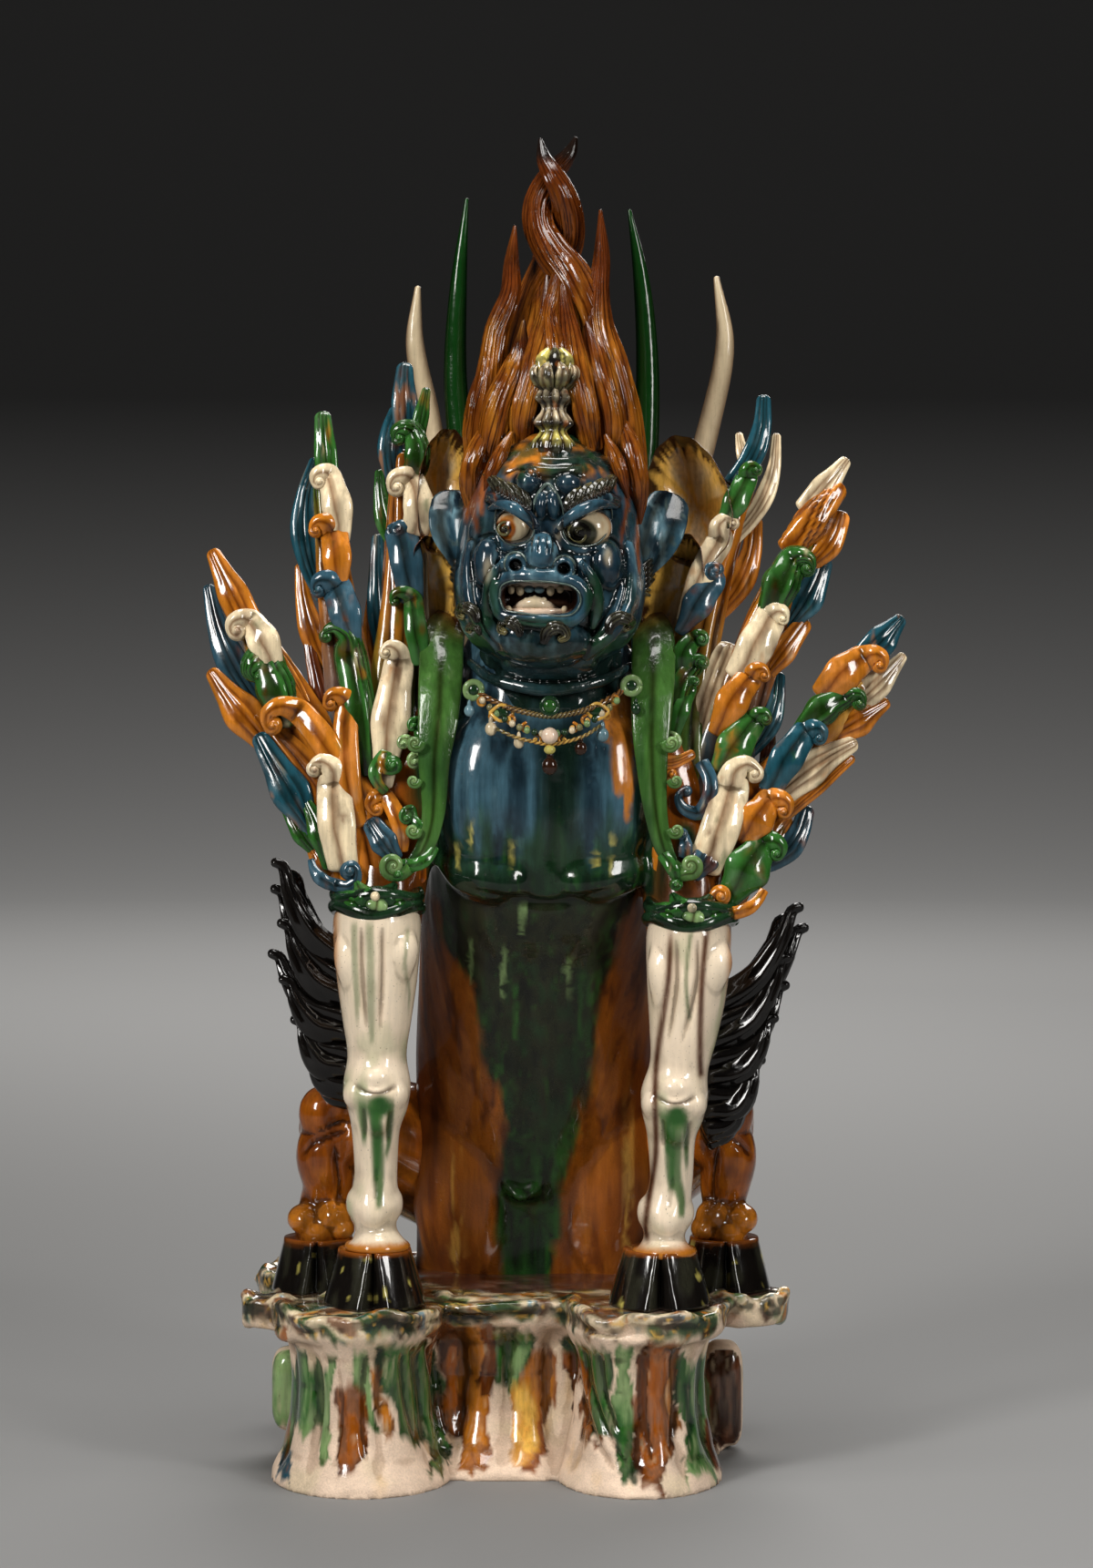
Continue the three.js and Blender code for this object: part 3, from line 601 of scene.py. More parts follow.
@functools.cache
def glaze_material(name, streaks, thin, specks, coat, swell=0.0006, clay=False, pooling=0.75):
    """A glossy glaze over the painted colours. Where clay is set, bare clay shows through the bare mask."""
    material = bpy.data.materials.new(name)
    material.use_nodes = True
    shader = material.node_tree.nodes["Principled BSDF"].inputs
    nodes = Nodes(material.node_tree)
    surface = {"Color": nodes.attribute("glaze", "Color"), "Pool": nodes.attribute("pool")}
    flow = {"Line": nodes.attribute("line"), "Streaks": streaks, "Thin": thin, "Specks": specks,
        "Pooling": pooling}
    base, rough, height = nodes.add("Group", surface | flow, node_tree=flowing_glaze()).outputs
    if clay:
        bare = nodes.attribute("bare")
        body = nodes.add("Group", surface, node_tree=fired_clay()).outputs
        base = nodes.mix("MIX", bare, base, body[0])
        rough, height = (nodes.add("Mix", {0: bare, 2: a, 3: b}, data_type="FLOAT").outputs[0]
            for a, b in ((rough, body[1]), (height, body[2])))
        coat = nodes.math("MULTIPLY", nodes.math("SUBTRACT", 1.0, bare), coat)
    bump = nodes.add("Bump", {"Strength": 0.6, "Distance": swell, "Height": height}).outputs[0]
    for key, value in (("Base Color", base), ("Roughness", rough), ("Coat Weight", coat),
            ("Coat Roughness", 0.04), ("Coat IOR", 1.42), ("Specular IOR Level", 0.2), ("Normal", bump)):
        nodes.join(value, shader[key])
    return material


# Head.

# Skull from chin to crown: y, z, half-width and depth as a share of it.
SKULL = [
    (-84, 565, 34, 0.8), (-78, 584, 57, 0.86), (-73, 612, 66, 0.86), (-68, 642, 64, 0.92),
    (-64, 672, 60, 0.95), (-62, 698, 50, 0.95), (-60, 714, 32, 0.95),
]
SKULL_X = 24


def face_front(x, z):
    """How far forward the plain skull reaches at a place of the face."""
    heights = [row[1] for row in SKULL]
    y, half, deep = (np.interp(z, heights, [row[k] for row in SKULL]) for k in (0, 2, 3))
    return y - half * deep * sqrt(max(0.0, 1 - ((x - SKULL_X) / half) ** 2))


def on_face(*spots):
    """Spots x, z and how far in front of the plain skull they lie, as places."""
    return [(x, face_front(x, z) - lift, z) for x, z, lift in spots]


def curl_path(centre, depth, radius, turns, start, sense, rise=0.0, count=14):
    """A flat spiral that winds in to its centre, in degrees from its start."""
    path = []
    for i in range(count):
        t = i / (count - 1)
        angle = radians(start) + sense * t * turns * 2 * pi
        r = radius * (1 - t) ** 0.85
        path.append((centre[0] + cos(angle) * r, depth - rise * t, centre[1] + sin(angle) * r))
    return path


def tuft(clay, reach, x, z, size, sense):
    """A curled tuft of hair pressed on to the face, with the lines of the comb."""
    spots = [(-1.0, -0.7), (-0.75, 0.1), (-0.1, 0.55), (0.6, 0.4), (0.85, -0.15), (0.45, -0.4)]
    path = [(x + sense * a * size, reach(x + sense * a * size, z + b * size) - 2.6, z + b * size)
        for a, b in spots]
    clay.roll(["black", "drab", "drab", "olive"], path,
        [size * 0.35, size * 0.58, size * 0.62, size * 0.55, size * 0.45, size * 0.34], 0.75, 36, 34,
        section=combed(9, 0.28, 1.4, 0.1))


def head_clay():
    clay = Clay()

    def shallow_back(turn, share):
        back = soft(0.0, -0.6, np.sin(turn))
        return 1 - 0.45 * back, 0.0 * turn

    clay.roll("blue", [(SKULL_X, y, z) for y, z, _, _ in SKULL], [row[2] for row in SKULL],
        [row[3] for row in SKULL], 72, 40, domes=(0.35, 0.35), section=shallow_back)
    # Cheeks, chin, and the full roll of the lips round the mouth.
    clay.lump("blue", (-19, -113, 635), (10, 13, 17), turn=(0, 5, 0))
    clay.lump("blue", (61, -111, 634), (13, 15, 18), turn=(0, -6, 0))
    clay.lump("navy", (19, -108, 583), (36, 27, 19))
    for x in (5, 31):
        clay.lump("blue", (x, -121, 587), (14, 12, 11))
    lips = [(-13, 612), (-10, 622), (2, 626.5), (19, 626.5), (36, 624.5), (46, 617), (47, 607),
        (40, 598), (24, 596.5), (5, 598), (-8, 601), (-13, 612)]
    clay.roll("blue", on_face(*[(x, z, 8 - abs(x - 17) * 0.1) for x, z in lips]), [5.2], 1.0, 20, 80,
        domes=(0.1, 0.1))
    # Folds from the nose round the mouth, and the jowls outside them.
    for s in (-1, 1):
        fold = on_face((FACE_X + s * 26, 636, 9), (FACE_X + s * 35, 622, 6), (FACE_X + s * 37, 606, 4),
            (FACE_X + s * 34, 592, 2))
        clay.roll(["blue", "moss", "navy"], fold, [3, 4.2, 4.5, 2.5], 0.9, 16, 24)
        jowl = on_face((24 + s * 53, 648, 1), (24 + s * 53, 628, 2), (24 + s * 49, 606, 3),
            (24 + s * 38, 586, 3), (24 + s * 24, 572, 2))
        clay.roll(["blue", "blue", "navy"], jowl, [4, 7, 8, 7, 4], 0.8, 20, 26)
    # Nose: petals at its root, a fluted bulb and two flared wings.
    clay.roll("blue", [(22, -106, 670), (21.5, -112, 660), (20.5, -120, 650)], [6.5, 7, 8], 1.0, 24, 18)

    def petals(turn, share):
        away = off_front(turn)
        wave = np.abs(np.sin((turn - pi / 2) * 3.0))
        return 1 - 0.12 * (1 - wave**0.6) * (away < 1.6) * soft(0.95, 0.6, share), 0.0 * turn

    clay.roll("blue", [(18.8, -127, 650), (18.6, -132, 643), (18.4, -132, 637)], [8.5, 11.5, 10.5], 1.0,
        72, 26, domes=(0.4, 0.5), section=petals)
    for x, z in NOSTRILS:
        clay.lump("blue", (x + (1 if x < 20 else -1), -124, z + 1), (9.8, 13, 10))
    clay.lump("navy", (19, -124, 629), (16, 11, 5))
    for x, lean in ((18.0, 7), (26.4, -7)):
        clay.lump("blue", (x, -122, 674), (4.4, 7, 9.5), turn=(0, lean, 0))
    # Brows: two lumps between them, and heavy ridges that overhang the eyes.
    for x, z in ((9.5, 690.5), (36.5, 689)):
        clay.lump("blue", (x, -114, z), (8.5, 9, 8))
    for spots in (((15, 660, 9), (9, 666.5, 11), (0, 673.5, 10), (-9, 678.5, 7), (-17, 680, 3)),
            ((30, 659, 9), (39, 666.5, 11), (50, 674, 10), (61, 679, 7), (70, 677, 3))):
        clay.roll("navy", on_face(*spots), [3, 4.6, 5.6, 5, 3], 0.9, 20, 30)
    # Throat and the ring round it.
    clay.roll("navy", [(24, -46, 574), (24, -44, 558), (24, -42, 540)], [50, 52, 56], 0.72, 48, 12)
    ring = [(-31, -56, 566), (-16, -76, 556), (6, -86, 550), (24, -89, 548), (42, -86, 550),
        (64, -76, 556), (80, -56, 564)]
    clay.roll("blue", ring, [3, 4.2, 4.6, 4.6, 4.6, 4.2, 3], 0.9, 24, 40, facing=UPWARD)
    # Forehead folds.
    for z, reach, half in ((711, 24, 3.0), (704.5, 29, 3.2), (698, 27, 3.0)):
        fold = on_face((28 - reach, z + 2, 1), (28 - reach / 2, z, 2.6), (28, z - 0.8, 3),
            (28 + reach / 2, z, 2.6), (28 + reach, z + 2.5, 1))
        clay.roll("olive", fold, [1.2, half, half, half, 1.2], 0.9, 14, 30)
    return clay


def rim(clay, glaze, outline, reach, half):
    """A thin raised edge round an opening, laid on the skin just outside it."""
    spots = np.array(outline, float)
    middle = spots.mean(axis=0)
    depth = np.array([reach(x, z) for x, z in middle + (spots - middle) * RIM_READ])
    depth = (np.roll(depth, 1) + 2 * depth + np.roll(depth, -1)) / 4 - RIM_LIFT
    path = [(x, y, z) for (x, z), y in zip(spots, depth)]
    clay.roll(glaze, path + path[:1], [half], 1.0, 12, 90, domes=(0.1, 0.1))


# Openings seen from the front: middles and half sizes.
NOSTRILS = [(1.0, 634.0), (33.4, 631.5)]
NOSTRIL_HALVES = (4.6, 4.2)
EYE_SOCKETS = (((0.3, 660.2), (13.2, 11.4)), ((48.8, 659.2), (16.8, 12.4)))
# Edges of the painted shade round the eyeballs.
EYE_SHADE_EDGES = (((0.3, 660.2), (13.6, 12)), ((48.8, 659.2), (17.2, 13)))
MOUTH_MIDDLE = (17.2, 611.5)
MOUTH_HALVES = (26.6, 10.8)
MOUTH_SQUARE = 3.2
# A rim's depth is read this much further out than its outline, and it lies this far in front, in mm.
RIM_READ = 1.14
RIM_LIFT = 0.5
# Outlines of the openings.
LEFT_EYE = [(-13.2, 664.6), (-11.5, 672.5), (-2.6, 671.2), (4.8, 666.5), (13.1, 660.6), (13.3, 656.5),
    (10.3, 650.7), (2.9, 647.4), (-5.4, 648.9), (-11.9, 656.3)]
RIGHT_EYE = [(31.5, 659.5), (40, 664.6), (49.2, 669), (58.5, 672), (65.5, 672), (66, 664.5), (63, 656.5),
    (56.6, 648.9), (45.5, 646.5), (36.2, 649.8)]
# The eyeballs, and the heavy upper lids that cut across them.
EYEBALLS = (
    ((0.5, -106, 659.5), (14, 13, 12.5)),
    ((49, -105, 658.5), (18, 14, 14)),
)
LIDS = (
    ((-17, 672), (-9, 674.5), (0, 672), (9, 665.5), (16, 656)),
    ((28, 656), (35, 664.5), (45, 671), (57, 675), (69, 673.5)),
)
MOUTH = [(-10, 612), (-8.5, 619.5), (-3, 622.8), (8, 623.2), (19.6, 623), (30, 621.8), (38.1, 620),
    (43.8, 615), (44.4, 608), (38.8, 601), (23.3, 599.8), (4.8, 601.8), (-6.3, 604)]
# Wrinkles and fold lines of the face: width and depth, then places x and z.
FACE_LINES = [
    (1.3, 1.6, [(-12, 640), (-10, 628), (-13, 622)]),
    (1.3, 1.6, [(48, 640), (47, 630), (50, 622)]),
    (1.6, 2.4, [(-30, 650), (-29, 628), (-26, 606), (-17, 586), (-6, 574)]),
    (1.6, 2.4, [(74, 652), (76, 634), (74, 612), (66, 594), (50, 578)]),
    (1.3, 2.0, [(60, 655), (70, 650), (75, 638), (71, 624)]),
    (1.3, 1.6, [(-27, 652), (-14, 655), (-9, 644)]),
    (1.3, 1.6, [(-14, 645), (-4, 642), (4, 646)]),
    (1.3, 1.6, [(36, 643.5), (47, 641), (60, 645)]),
    (1.2, 1.6, [(-9, 694), (2, 699), (12, 695), (22, 692)]),
    (1.2, 1.6, [(24, 692), (36, 697), (50, 692)]),
    (1.2, 1.4, [(2, 682), (10, 681), (15, 676)]),
    (1.2, 1.4, [(43, 681), (36, 680), (31, 674)]),
    (1.6, 1.8, [(-2, 597.5), (17, 595), (37, 596.5)]),
    (3.0, 1.2, [(18, 592), (18, 584), (18, 578)]),
    (0.9, 1.6, [(12.5, 655), (11, 648), (11.5, 640)]),
    (0.9, 1.8, [(16.8, 656), (16, 648), (16.4, 640)]),
    (0.9, 1.8, [(22.2, 656), (22.8, 648), (22.4, 640)]),
    (0.9, 1.6, [(25.8, 655), (27, 648), (26.4, 640)]),
]


def paint_head(skin):
    wash = skin.wash
    x, y, z = skin.places.T
    cloud = skin.rough((22, 22, 34), 4)
    streak = skin.rough((5, 5, 50), 5)
    patch = skin.rough((13, 13, 22), 6)
    wash("navy", soft(0.62, 0.38, cloud) * 0.85)
    wash("sky", soft(0.52, 0.85, streak) * 0.6)
    wash("pitch", soft(0.52, 0.72, patch) * 0.75 * soft(690, 650, z))
    skin.mottle("navy", (5, 5, 9), 10, 0.5, 0.68, 0.75)
    wash("pitch", soft(598, 570, z + (patch - 0.5) * 20) * 0.7)
    # Green pools in the folds beside the mouth and under it.
    for cx, cz, rx, rz in ((-15, 612, 6, 22), (54, 608, 7, 24), (17, 595, 28, 4), (-24, 590, 8, 14),
            (58, 584, 9, 12)):
        gap = ((x - cx) / rx) ** 2 + ((z - cz) / rz) ** 2
        wash("moss", soft(1.4, 0.2, gap + (cloud - 0.5) * 0.8) * 0.75)
    # Over the forehead and temples the hair's amber runs into dark green and blue.
    crown = soft(690, 700, z + (streak - 0.5) * 16)
    wash("pitch", crown * 0.8)
    wash("amber", crown * soft(0.44, 0.6, skin.rough((10, 10, 14), 7)) * soft(28, 14, x) * 0.9)
    wash("amber", crown * soft(0.5, 0.66, skin.rough((10, 10, 14), 9)) * soft(34, 46, x) * 0.9)
    wash("moss", crown * soft(0.5, 0.7, noise(skin.places, (8, 8, 14), 8)) * 0.8)
    wash("navy", soft(0.55, 0.75, cloud) * soft(706, 698, z) * soft(684, 692, z) * 0.8)
    for cx, width, low, glaze in ((-33, 5, 664, "rust"), (-27, 4, 656, "brown"), (-22, 3.4, 668, "rust"),
            (-14, 2, 676, "brown"), (74, 1.6, 640, "brown"), (85, 2.2, 628, "rust"),
            (79, 2.6, 672, "brown"), (68, 2, 684, "rust")):
        drip(skin, glaze, cx, width, low, 720, 0.85, sway=2.5)
    # Pale cream spots on the cheeks and by the nose: painted highlights.
    for cx, cz in ((-18, 632), (63, 640), (30, 655)):
        spot = np.hypot((x - cx) / 3, (z - cz) / 7)
        wash("cream", soft(1.2, 0.3, spot + (patch - 0.5) * 1.5) * (y < -100) * 0.3)


def drip(skin, glaze, cx, width, low, high, strength=0.9, front=-20.0, sway=3.0):
    """A run of glaze down the front, round at its lower end."""
    x, y, z = skin.places.T
    middle = cx + (noise(np.stack([z * 0, z * 0 + cx, z], axis=1), (1, 1, 24), 3) - 0.5) * sway * 2
    narrow = width * (0.55 + 0.45 * soft(low, low + 25, z))
    body = soft(narrow, narrow * 0.55, np.abs(x - middle)) * soft(high + 4, high - 4, z)
    end = soft(low - 2, low + 3, z)
    skin.wash(glaze, body * end * strength * (y < front))


def model_head():
    skin = head_clay().fused(1.1, 3)
    for centre, halves in EYE_SOCKETS:
        skin.pocket(centre, halves, 9.0, 2.4)
    skin.pocket(MOUTH_MIDDLE, MOUTH_HALVES, 26.0, MOUTH_SQUARE)
    for spot in NOSTRILS:
        skin.pocket(spot, NOSTRIL_HALVES, 9.0)
    skin.relax(1)
    swell = skin.rough((11, 11, 15), 14) - 0.5
    skin.places += skin.normals() * (swell * 1.6)[:, None]
    skin.strokes(FACE_LINES)
    skin.relax(3)
    skin = skin.thinned(0.4)
    paint_head(skin)
    # Clay inside the mouth, darkened as painted shade, and black in the nostrils as painted shade in the
    # holes.
    x, y, z = skin.places.T
    gap = np.abs((skin.places[:, [0, 2]] - MOUTH_MIDDLE) / MOUTH_HALVES)
    inside = soft(1.04, 0.9, (gap**MOUTH_SQUARE).sum(axis=1))
    skin.wash("mouth", inside * soft(-131, -122, y))
    # Black in the nostrils: painted shade in the holes.
    for cx, cz in NOSTRILS:
        pit = soft(1.1, 0.7, ((x - cx) / NOSTRIL_HALVES[0]) ** 2 + ((z - cz) / NOSTRIL_HALVES[1]) ** 2)
        skin.wash("black", pit * (y < -90) * 0.9)
    # Black round and behind the eyeballs: painted shade in the eye sockets.
    for (cx, cz), (rx, rz) in EYE_SHADE_EDGES:
        lid = np.hypot((x - cx) / rx, (z - cz) / rz)
        skin.wash("black", soft(1.12, 0.98, lid) * (y < -90) * 0.8)
    skin.blur(1)
    reach = skin.front()
    skin.piece("head", "blue_glaze", 0.35, 0.5, 0.25, 0.9, pooling=0.85)
    relief = Clay()
    for outline, half in ((LEFT_EYE, 0.55), (RIGHT_EYE, 0.55), (MOUTH, 0.7)):
        rim(relief, "worn_blue", outline, reach, half)
    for ((cx, cy, cz), (rx, ry, rz)), spots in zip(EYEBALLS, LIDS):
        swell = [max(0.0, 1 - ((px - cx) / rx) ** 2 - ((pz - cz) / rz) ** 2) for px, pz in spots]
        lid = [(px, min(cy - ry * sqrt(s) - 1.6, reach(px, pz) - 0.5), pz)
            for (px, pz), s in zip(spots, swell)]
        relief.roll(["navy", "blue", "blue", "navy"], lid, [1.8, 3.4, 4.2, 3.8, 1.8], 0.9, 20, 34)
    for (cx, cz), sense in zip(NOSTRILS, (1, -1)):
        ring = [(cx + sense * 7.6 * cos(a), cz + 0.5 + 8 * sin(a))
            for a in np.linspace(radians(215), radians(15), 10)]
        relief.roll("worn_blue", [(px, reach(px, pz) - 0.4, pz) for px, pz in ring],
            [0.5, 0.95, 1.0, 0.95, 0.5], 1.0, 10, 34)
    arch = [(13.2, 669), (13.9, 677), (17.5, 684), (22.4, 688.5), (27.2, 684), (31, 677), (33.4, 668)]
    relief.roll("worn_blue", [(px, reach(px, pz) - 0.5, pz) for px, pz in arch],
        [0.5, 1.0, 1.1, 1.3, 1.1, 1.0, 0.5], 1.0, 10, 44)
    # Brows of thick combed locks that sweep up and out.
    for side, foot, tip in ((-1, (10, 672), (-14, 685)), (1, (35, 671), (65, 685))):
        for i in range(13):
            t = i / 12
            px = foot[0] + (tip[0] - foot[0]) * t
            pz = foot[1] - 1 + (tip[1] - foot[1]) * t
            rise = 14 + 2 * sin(i * 2.1) - 3 * t
            spots = [(px, pz), (px + side * 1, pz + rise * 0.4), (px + side * 3, pz + rise * 0.75),
                (px + side * 7, pz + rise)]
            lock = [(a, reach(a, b) - lift, b) for (a, b), lift in zip(spots, (0.5, 2.2, 2.4, 0.6))]
            relief.roll(["black", "drab", "drab", "olive"], lock, [1.5, 2.7, 2.4, 0.8], 0.9, 24, 22,
                section=combed(5, 0.3, 1.5))
    for x, z, size, sense in ((-32, 601, 7, -1), (71.5, 594, 8, 1), (-3, 591.6, 7, -1),
            (28, 587.5, 8, 1), (-28, 590, 4.5, -1)):
        tuft(relief, reach, x, z, size, sense)
    # Knots of hair where the ears start, and the blue leaves in front of them.
    for side, x in ((-1, -38.5), (1, 90.5)):
        for i in range(5):
            z = 633 - i * 3.6
            lock = [(x + side * 5, -66, z + 5), (x, -78, z + 1), (x - side * 3, -80, z - 3),
                (x + side * 2, -72, z - 6)]
            relief.roll(["drab", "black", "olive"], lock, [1.3, 2.3, 2.3, 1.2], 0.9, 20, 20,
                section=combed(4, 0.25))
    skin = relief.plain(0.5)
    skin.mottle("black", 4, 11, 0.5, 0.75, 0.6)
    skin.piece("face_relief", "relief_glaze", 0.4, 0.4, 0.3, 0.9)
    leaves = Clay()
    for points, halves in (([(-36, -70, 629), (-39, -72, 642), (-42, -70, 655), (-43, -67, 666),
            (-43, -62, 674)], [3.5, 8, 12, 13, 12]), ([(88, -68, 626), (93, -70, 640), (98, -70, 653),
            (102, -66, 665), (105, -60, 673)], [3.5, 10, 13, 13.5, 12])):
        leaves.roll(["navy", "blue", "blue", "navy"], points, halves, 0.36, 72, 60,
            section=dished(1.0, 0.34), domes=(0.5, 1.1))
    skin = leaves.plain()
    skin.mottle("sky", (5, 5, 34), 12, 0.42, 0.72, 0.85)
    skin.mottle("navy", (12, 12, 18), 13, 0.56, 0.25, 0.8)
    skin.mottle("worn_blue", (4, 4, 9), 16, 0.6, 0.75, 0.6)
    skin.piece("ear_leaves", "leaf_glaze", 0.4, 0.25, 0.3, 0.2, pooling=0.5)


def model_eyes_and_teeth():
    clay = Clay()
    for (centre, halves), pupil, reach, iris, runs in ((EYEBALLS[0], (-0.5, -0.14), 0.52, "rust", 0.9),
            (EYEBALLS[1], (-0.3, -0.24), 0.68, "drab", 0.3)):
        mesh, unit, _, _ = ball_shape(96, 64)
        gap = np.hypot(unit[:, 0] - pupil[0], unit[:, 2] - pupil[1]) / reach
        angle = np.arctan2(unit[:, 2] - pupil[1], unit[:, 0] - pupil[0])
        spiral = soft(-0.1, 0.5, np.sin(angle - gap * 9))
        blotch = rough_noise(unit, (0.5, 0.5, 0.9), 15)
        edge = np.hypot(unit[:, 0], unit[:, 2])
        colour = layered("cream", ("amber", soft(0.5, 0.62, blotch) * runs),
            ("rust", soft(0.78, 1.0, edge) * 0.7), (iris, soft(1.15, 0.95, gap)),
            ("black", soft(1.0, 0.9, gap) * spiral * 0.95), ("black", soft(0.45, 0.3, gap)))
        clay.add(mesh, placed(unit, centre, halves, (0, 0, 0)), colour)
        px = centre[0] + pupil[0] * halves[0]
        pz = centre[2] + pupil[1] * halves[2]
        py = centre[1] - halves[1] * sqrt(1 - pupil[0] ** 2 - pupil[1] ** 2)
        size = reach * halves[0] * 0.8
        path = [(x, y + 0.035 * ((x - px) ** 2 + (z - pz) ** 2), z)
            for x, y, z in curl_path((px, pz), py - 0.4, size, 1.7, 0, 1, 0, 26)]
        clay.roll(["olive", "black"], path, [0.8, 1.1, 1.4], 0.8, 10, 60)
    for x, z, w, h, glaze in ((-2, 617, 2.4, 3.0, "cream"), (4, 616.5, 2.8, 3.6, "cream"),
            (10, 617.5, 3.6, 2.6, "sky"), (17, 617, 3.6, 2.4, "sky"), (24.5, 616.5, 2.8, 3.8, "cream"),
            (31, 617.5, 2.6, 2.8, "cream")):
        clay.lump(glaze, (x, -118 + abs(x - 17) * 0.14, z), (w, 3.4, h), 20, 12)
    clay.roll("clay", [(-6, -108, 619.5), (6, -114, 621), (18, -116, 621), (30, -114, 620.5),
        (39, -108, 618)], [2, 3, 3, 3, 2], 1, 16, 30, facing=UPWARD)
    clay.roll(["clay", "cream", "clay"], [(0, -112, 604), (6, -117, 607), (14, -119, 608.5),
        (22, -117, 606.5), (28, -112, 604)], [2, 3.8, 4.8, 3.8, 2], 0.9, 20, 30, facing=UPWARD)
    clay.roll(["clay"], [(-6, -113, 603), (6, -119, 602.5), (20, -120, 602.5), (34, -115, 603)],
        [1.5, 2.2, 2.2, 1.5], 1, 14, 24, facing=UPWARD)
    for x, z, size in ((8, 609.5, 2.2), (20, 609.5, 2.4), (14, 611, 2.2), (-4, 604, 2.4), (34, 604, 2.2)):
        clay.lump("cream", (x, -119, z), (size, 2.6, size * 1.1), 16, 10)
    skin = clay.plain(0.66)
    skin.piece("eyes_and_teeth", "cream_glaze", 0.12, 0.0, 0.3, 0.8)


def cup(clay, centre, halves, turn, seed):
    """A wide cupped ear: a bowl open to the front, streaked outwards and dark along its rim."""
    mesh, unit, _, _ = ball_shape(96, 70)
    spot = unit.copy()
    front = spot[:, 1] < 0
    radial = np.hypot(spot[:, 0], spot[:, 2])
    angle = np.arctan2(spot[:, 2], spot[:, 0])
    ruffle = 1 + 0.02 * np.sin(angle * 3 + seed) + 0.012 * np.sin(angle * 13 + seed * 2)
    spot[front, 1] = -spot[front, 1] * 0.82 - 0.1 * radial[front]
    spot[:, 1] += 0.06 * radial**4 * np.sin(angle * 3 + seed)
    spot[:, 1] -= 0.12 * bell(radial, 0.97, 0.06)
    spot[:, 0] *= ruffle
    spot[:, 2] *= ruffle
    ray = 0.5 + 0.5 * np.sin(angle * 31 + 3 * np.sin(angle * 5 + seed) + radial * 2)
    grid = np.stack([angle * 5, radial * 2, np.full(len(angle), float(seed))], axis=1)
    patch = noise(grid, 1.0, seed)
    rim = radial + 0.12 * (ray - 0.5) + 0.12 * (patch - 0.5)
    wide_rim = radial + 0.3 * (ray - 0.5) + 0.25 * (patch - 0.5)
    pale = soft(0.4, 0.65, noise(grid, 1.4, seed + 5)) * soft(0.85, 0.5, radial)
    colour = layered("honey", ("amber", soft(0.5, 0.85, patch) * 0.4), ("cream", pale * 0.75),
        ("brown", soft(0.82, 1.0, wide_rim) * 0.85), ("umber", soft(0.8, 0.92, rim)),
        ("rust", (~front) * 0.6))
    lines = soft(0.7, 1.0, ray) * soft(0.15, 0.5, radial) * 0.35
    clay.add(mesh, placed(spot, centre, halves, turn), colour, lines)


def model_ears():
    clay = Clay()
    cup(clay, (-50, -36, 684), (19, 24, 44), (-6, 8, 14), 1)
    cup(clay, (-56, -40, 616), (17, 20, 38), (6, -8, 14), 2)
    cup(clay, (121, -34, 676), (29, 28, 47), (-6, -14, -14), 3)
    cup(clay, (110, -40, 616), (21, 22, 40), (6, 14, -14), 4)
    clay.plain(0.5).piece("ears", "shell_glaze", 0.35, 0.0, 0.4, 1.0, 0.0016, pooling=0.0)


# Hair.

# The mass of the hair, from the nape to the twist.
HAIR_ROOT = [(28, -2, 560), (28, -14, 640), (29, -22, 706), (29, -24, 762), (28, -22, 806), (27, -18, 846)]
# Locks over the mass, from foot to tip: half-widths, then stations.
HAIR_LOCKS = [
    ([10, 12, 12, 10, 8.5, 7, 5, 1.2], [(-22, -46, 640), (-24, -58, 690), (-21, -64, 730),
        (-16, -66, 765), (-12, -62, 795), (-3, -58, 820), (-2, -50, 842), (0, -44, 866)]),
    ([10, 12, 12, 11, 9, 7, 5.5, 1.2], [(78, -46, 632), (79, -58, 690), (75, -66, 735), (67, -68, 770),
        (59, -62, 797), (58, -56, 822), (60, -50, 846), (59, -44, 877)]),
    ([8, 9.5, 10, 8.5, 6, 1.4], [(-19, -66, 690), (-17, -78, 713), (-11, -82, 742), (-1, -80, 765),
        (4, -72, 780), (6, -66, 800)]),
    ([8, 9, 9, 7, 1.2], [(66, -66, 700), (67, -76, 730), (60, -76, 762), (54, -66, 786), (47, -54, 812)]),
    ([8, 9, 9, 7, 1.2], [(4, -74, 716), (5, -84, 736), (13, -82, 766), (20, -70, 798), (22, -54, 832)]),
    ([8, 9, 9, 7, 1.2], [(52, -76, 714), (49, -84, 736), (42, -80, 768), (35, -68, 802), (31, -52, 838)]),
    ([6, 8, 7, 5, 1.2], [(28, -78, 760), (27, -78, 782), (24, -70, 802), (27, -60, 822), (30, -52, 842)]),
    ([5, 7, 6, 1.2], [(-27, -58, 700), (-29, -64, 724), (-26, -66, 748), (-22, -60, 772)]),
]
TEMPLE_LOCKS = [
    (7, [(-14, -72, 738), (-25, -84, 712), (-30, -84, 694), (-30, -80, 676), (-28, -80, 664)]),
    (4.5, [(-2, -88, 724), (-10, -96, 708), (-17, -98, 694), (-20, -96, 682)]),
    (7, [(72, -72, 738), (80, -82, 712), (84, -82, 692), (86, -78, 676), (86, -76, 662)]),
    (4.5, [(62, -86, 722), (69, -92, 706), (74, -92, 692), (77, -88, 680)]),
]
# The two strands that wind round each other to the double tip.
TWIST_FRONT = [
    (54, -48, 786), (49, -52, 809), (38, -50, 832), (25, -42, 850), (17, -32, 866), (16, -24, 882),
    (21, -18, 896), (29, -16, 908), (38, -16, 919), (42, -16, 929),
]
TWIST_BACK = [
    (2, -40, 774), (8, -40, 796), (17, -34, 822), (29, -24, 842), (37, -22, 858), (37, -26, 874),
    (33, -32, 889), (26, -32, 903), (20, -24, 915), (17.5, -18, 928),
]


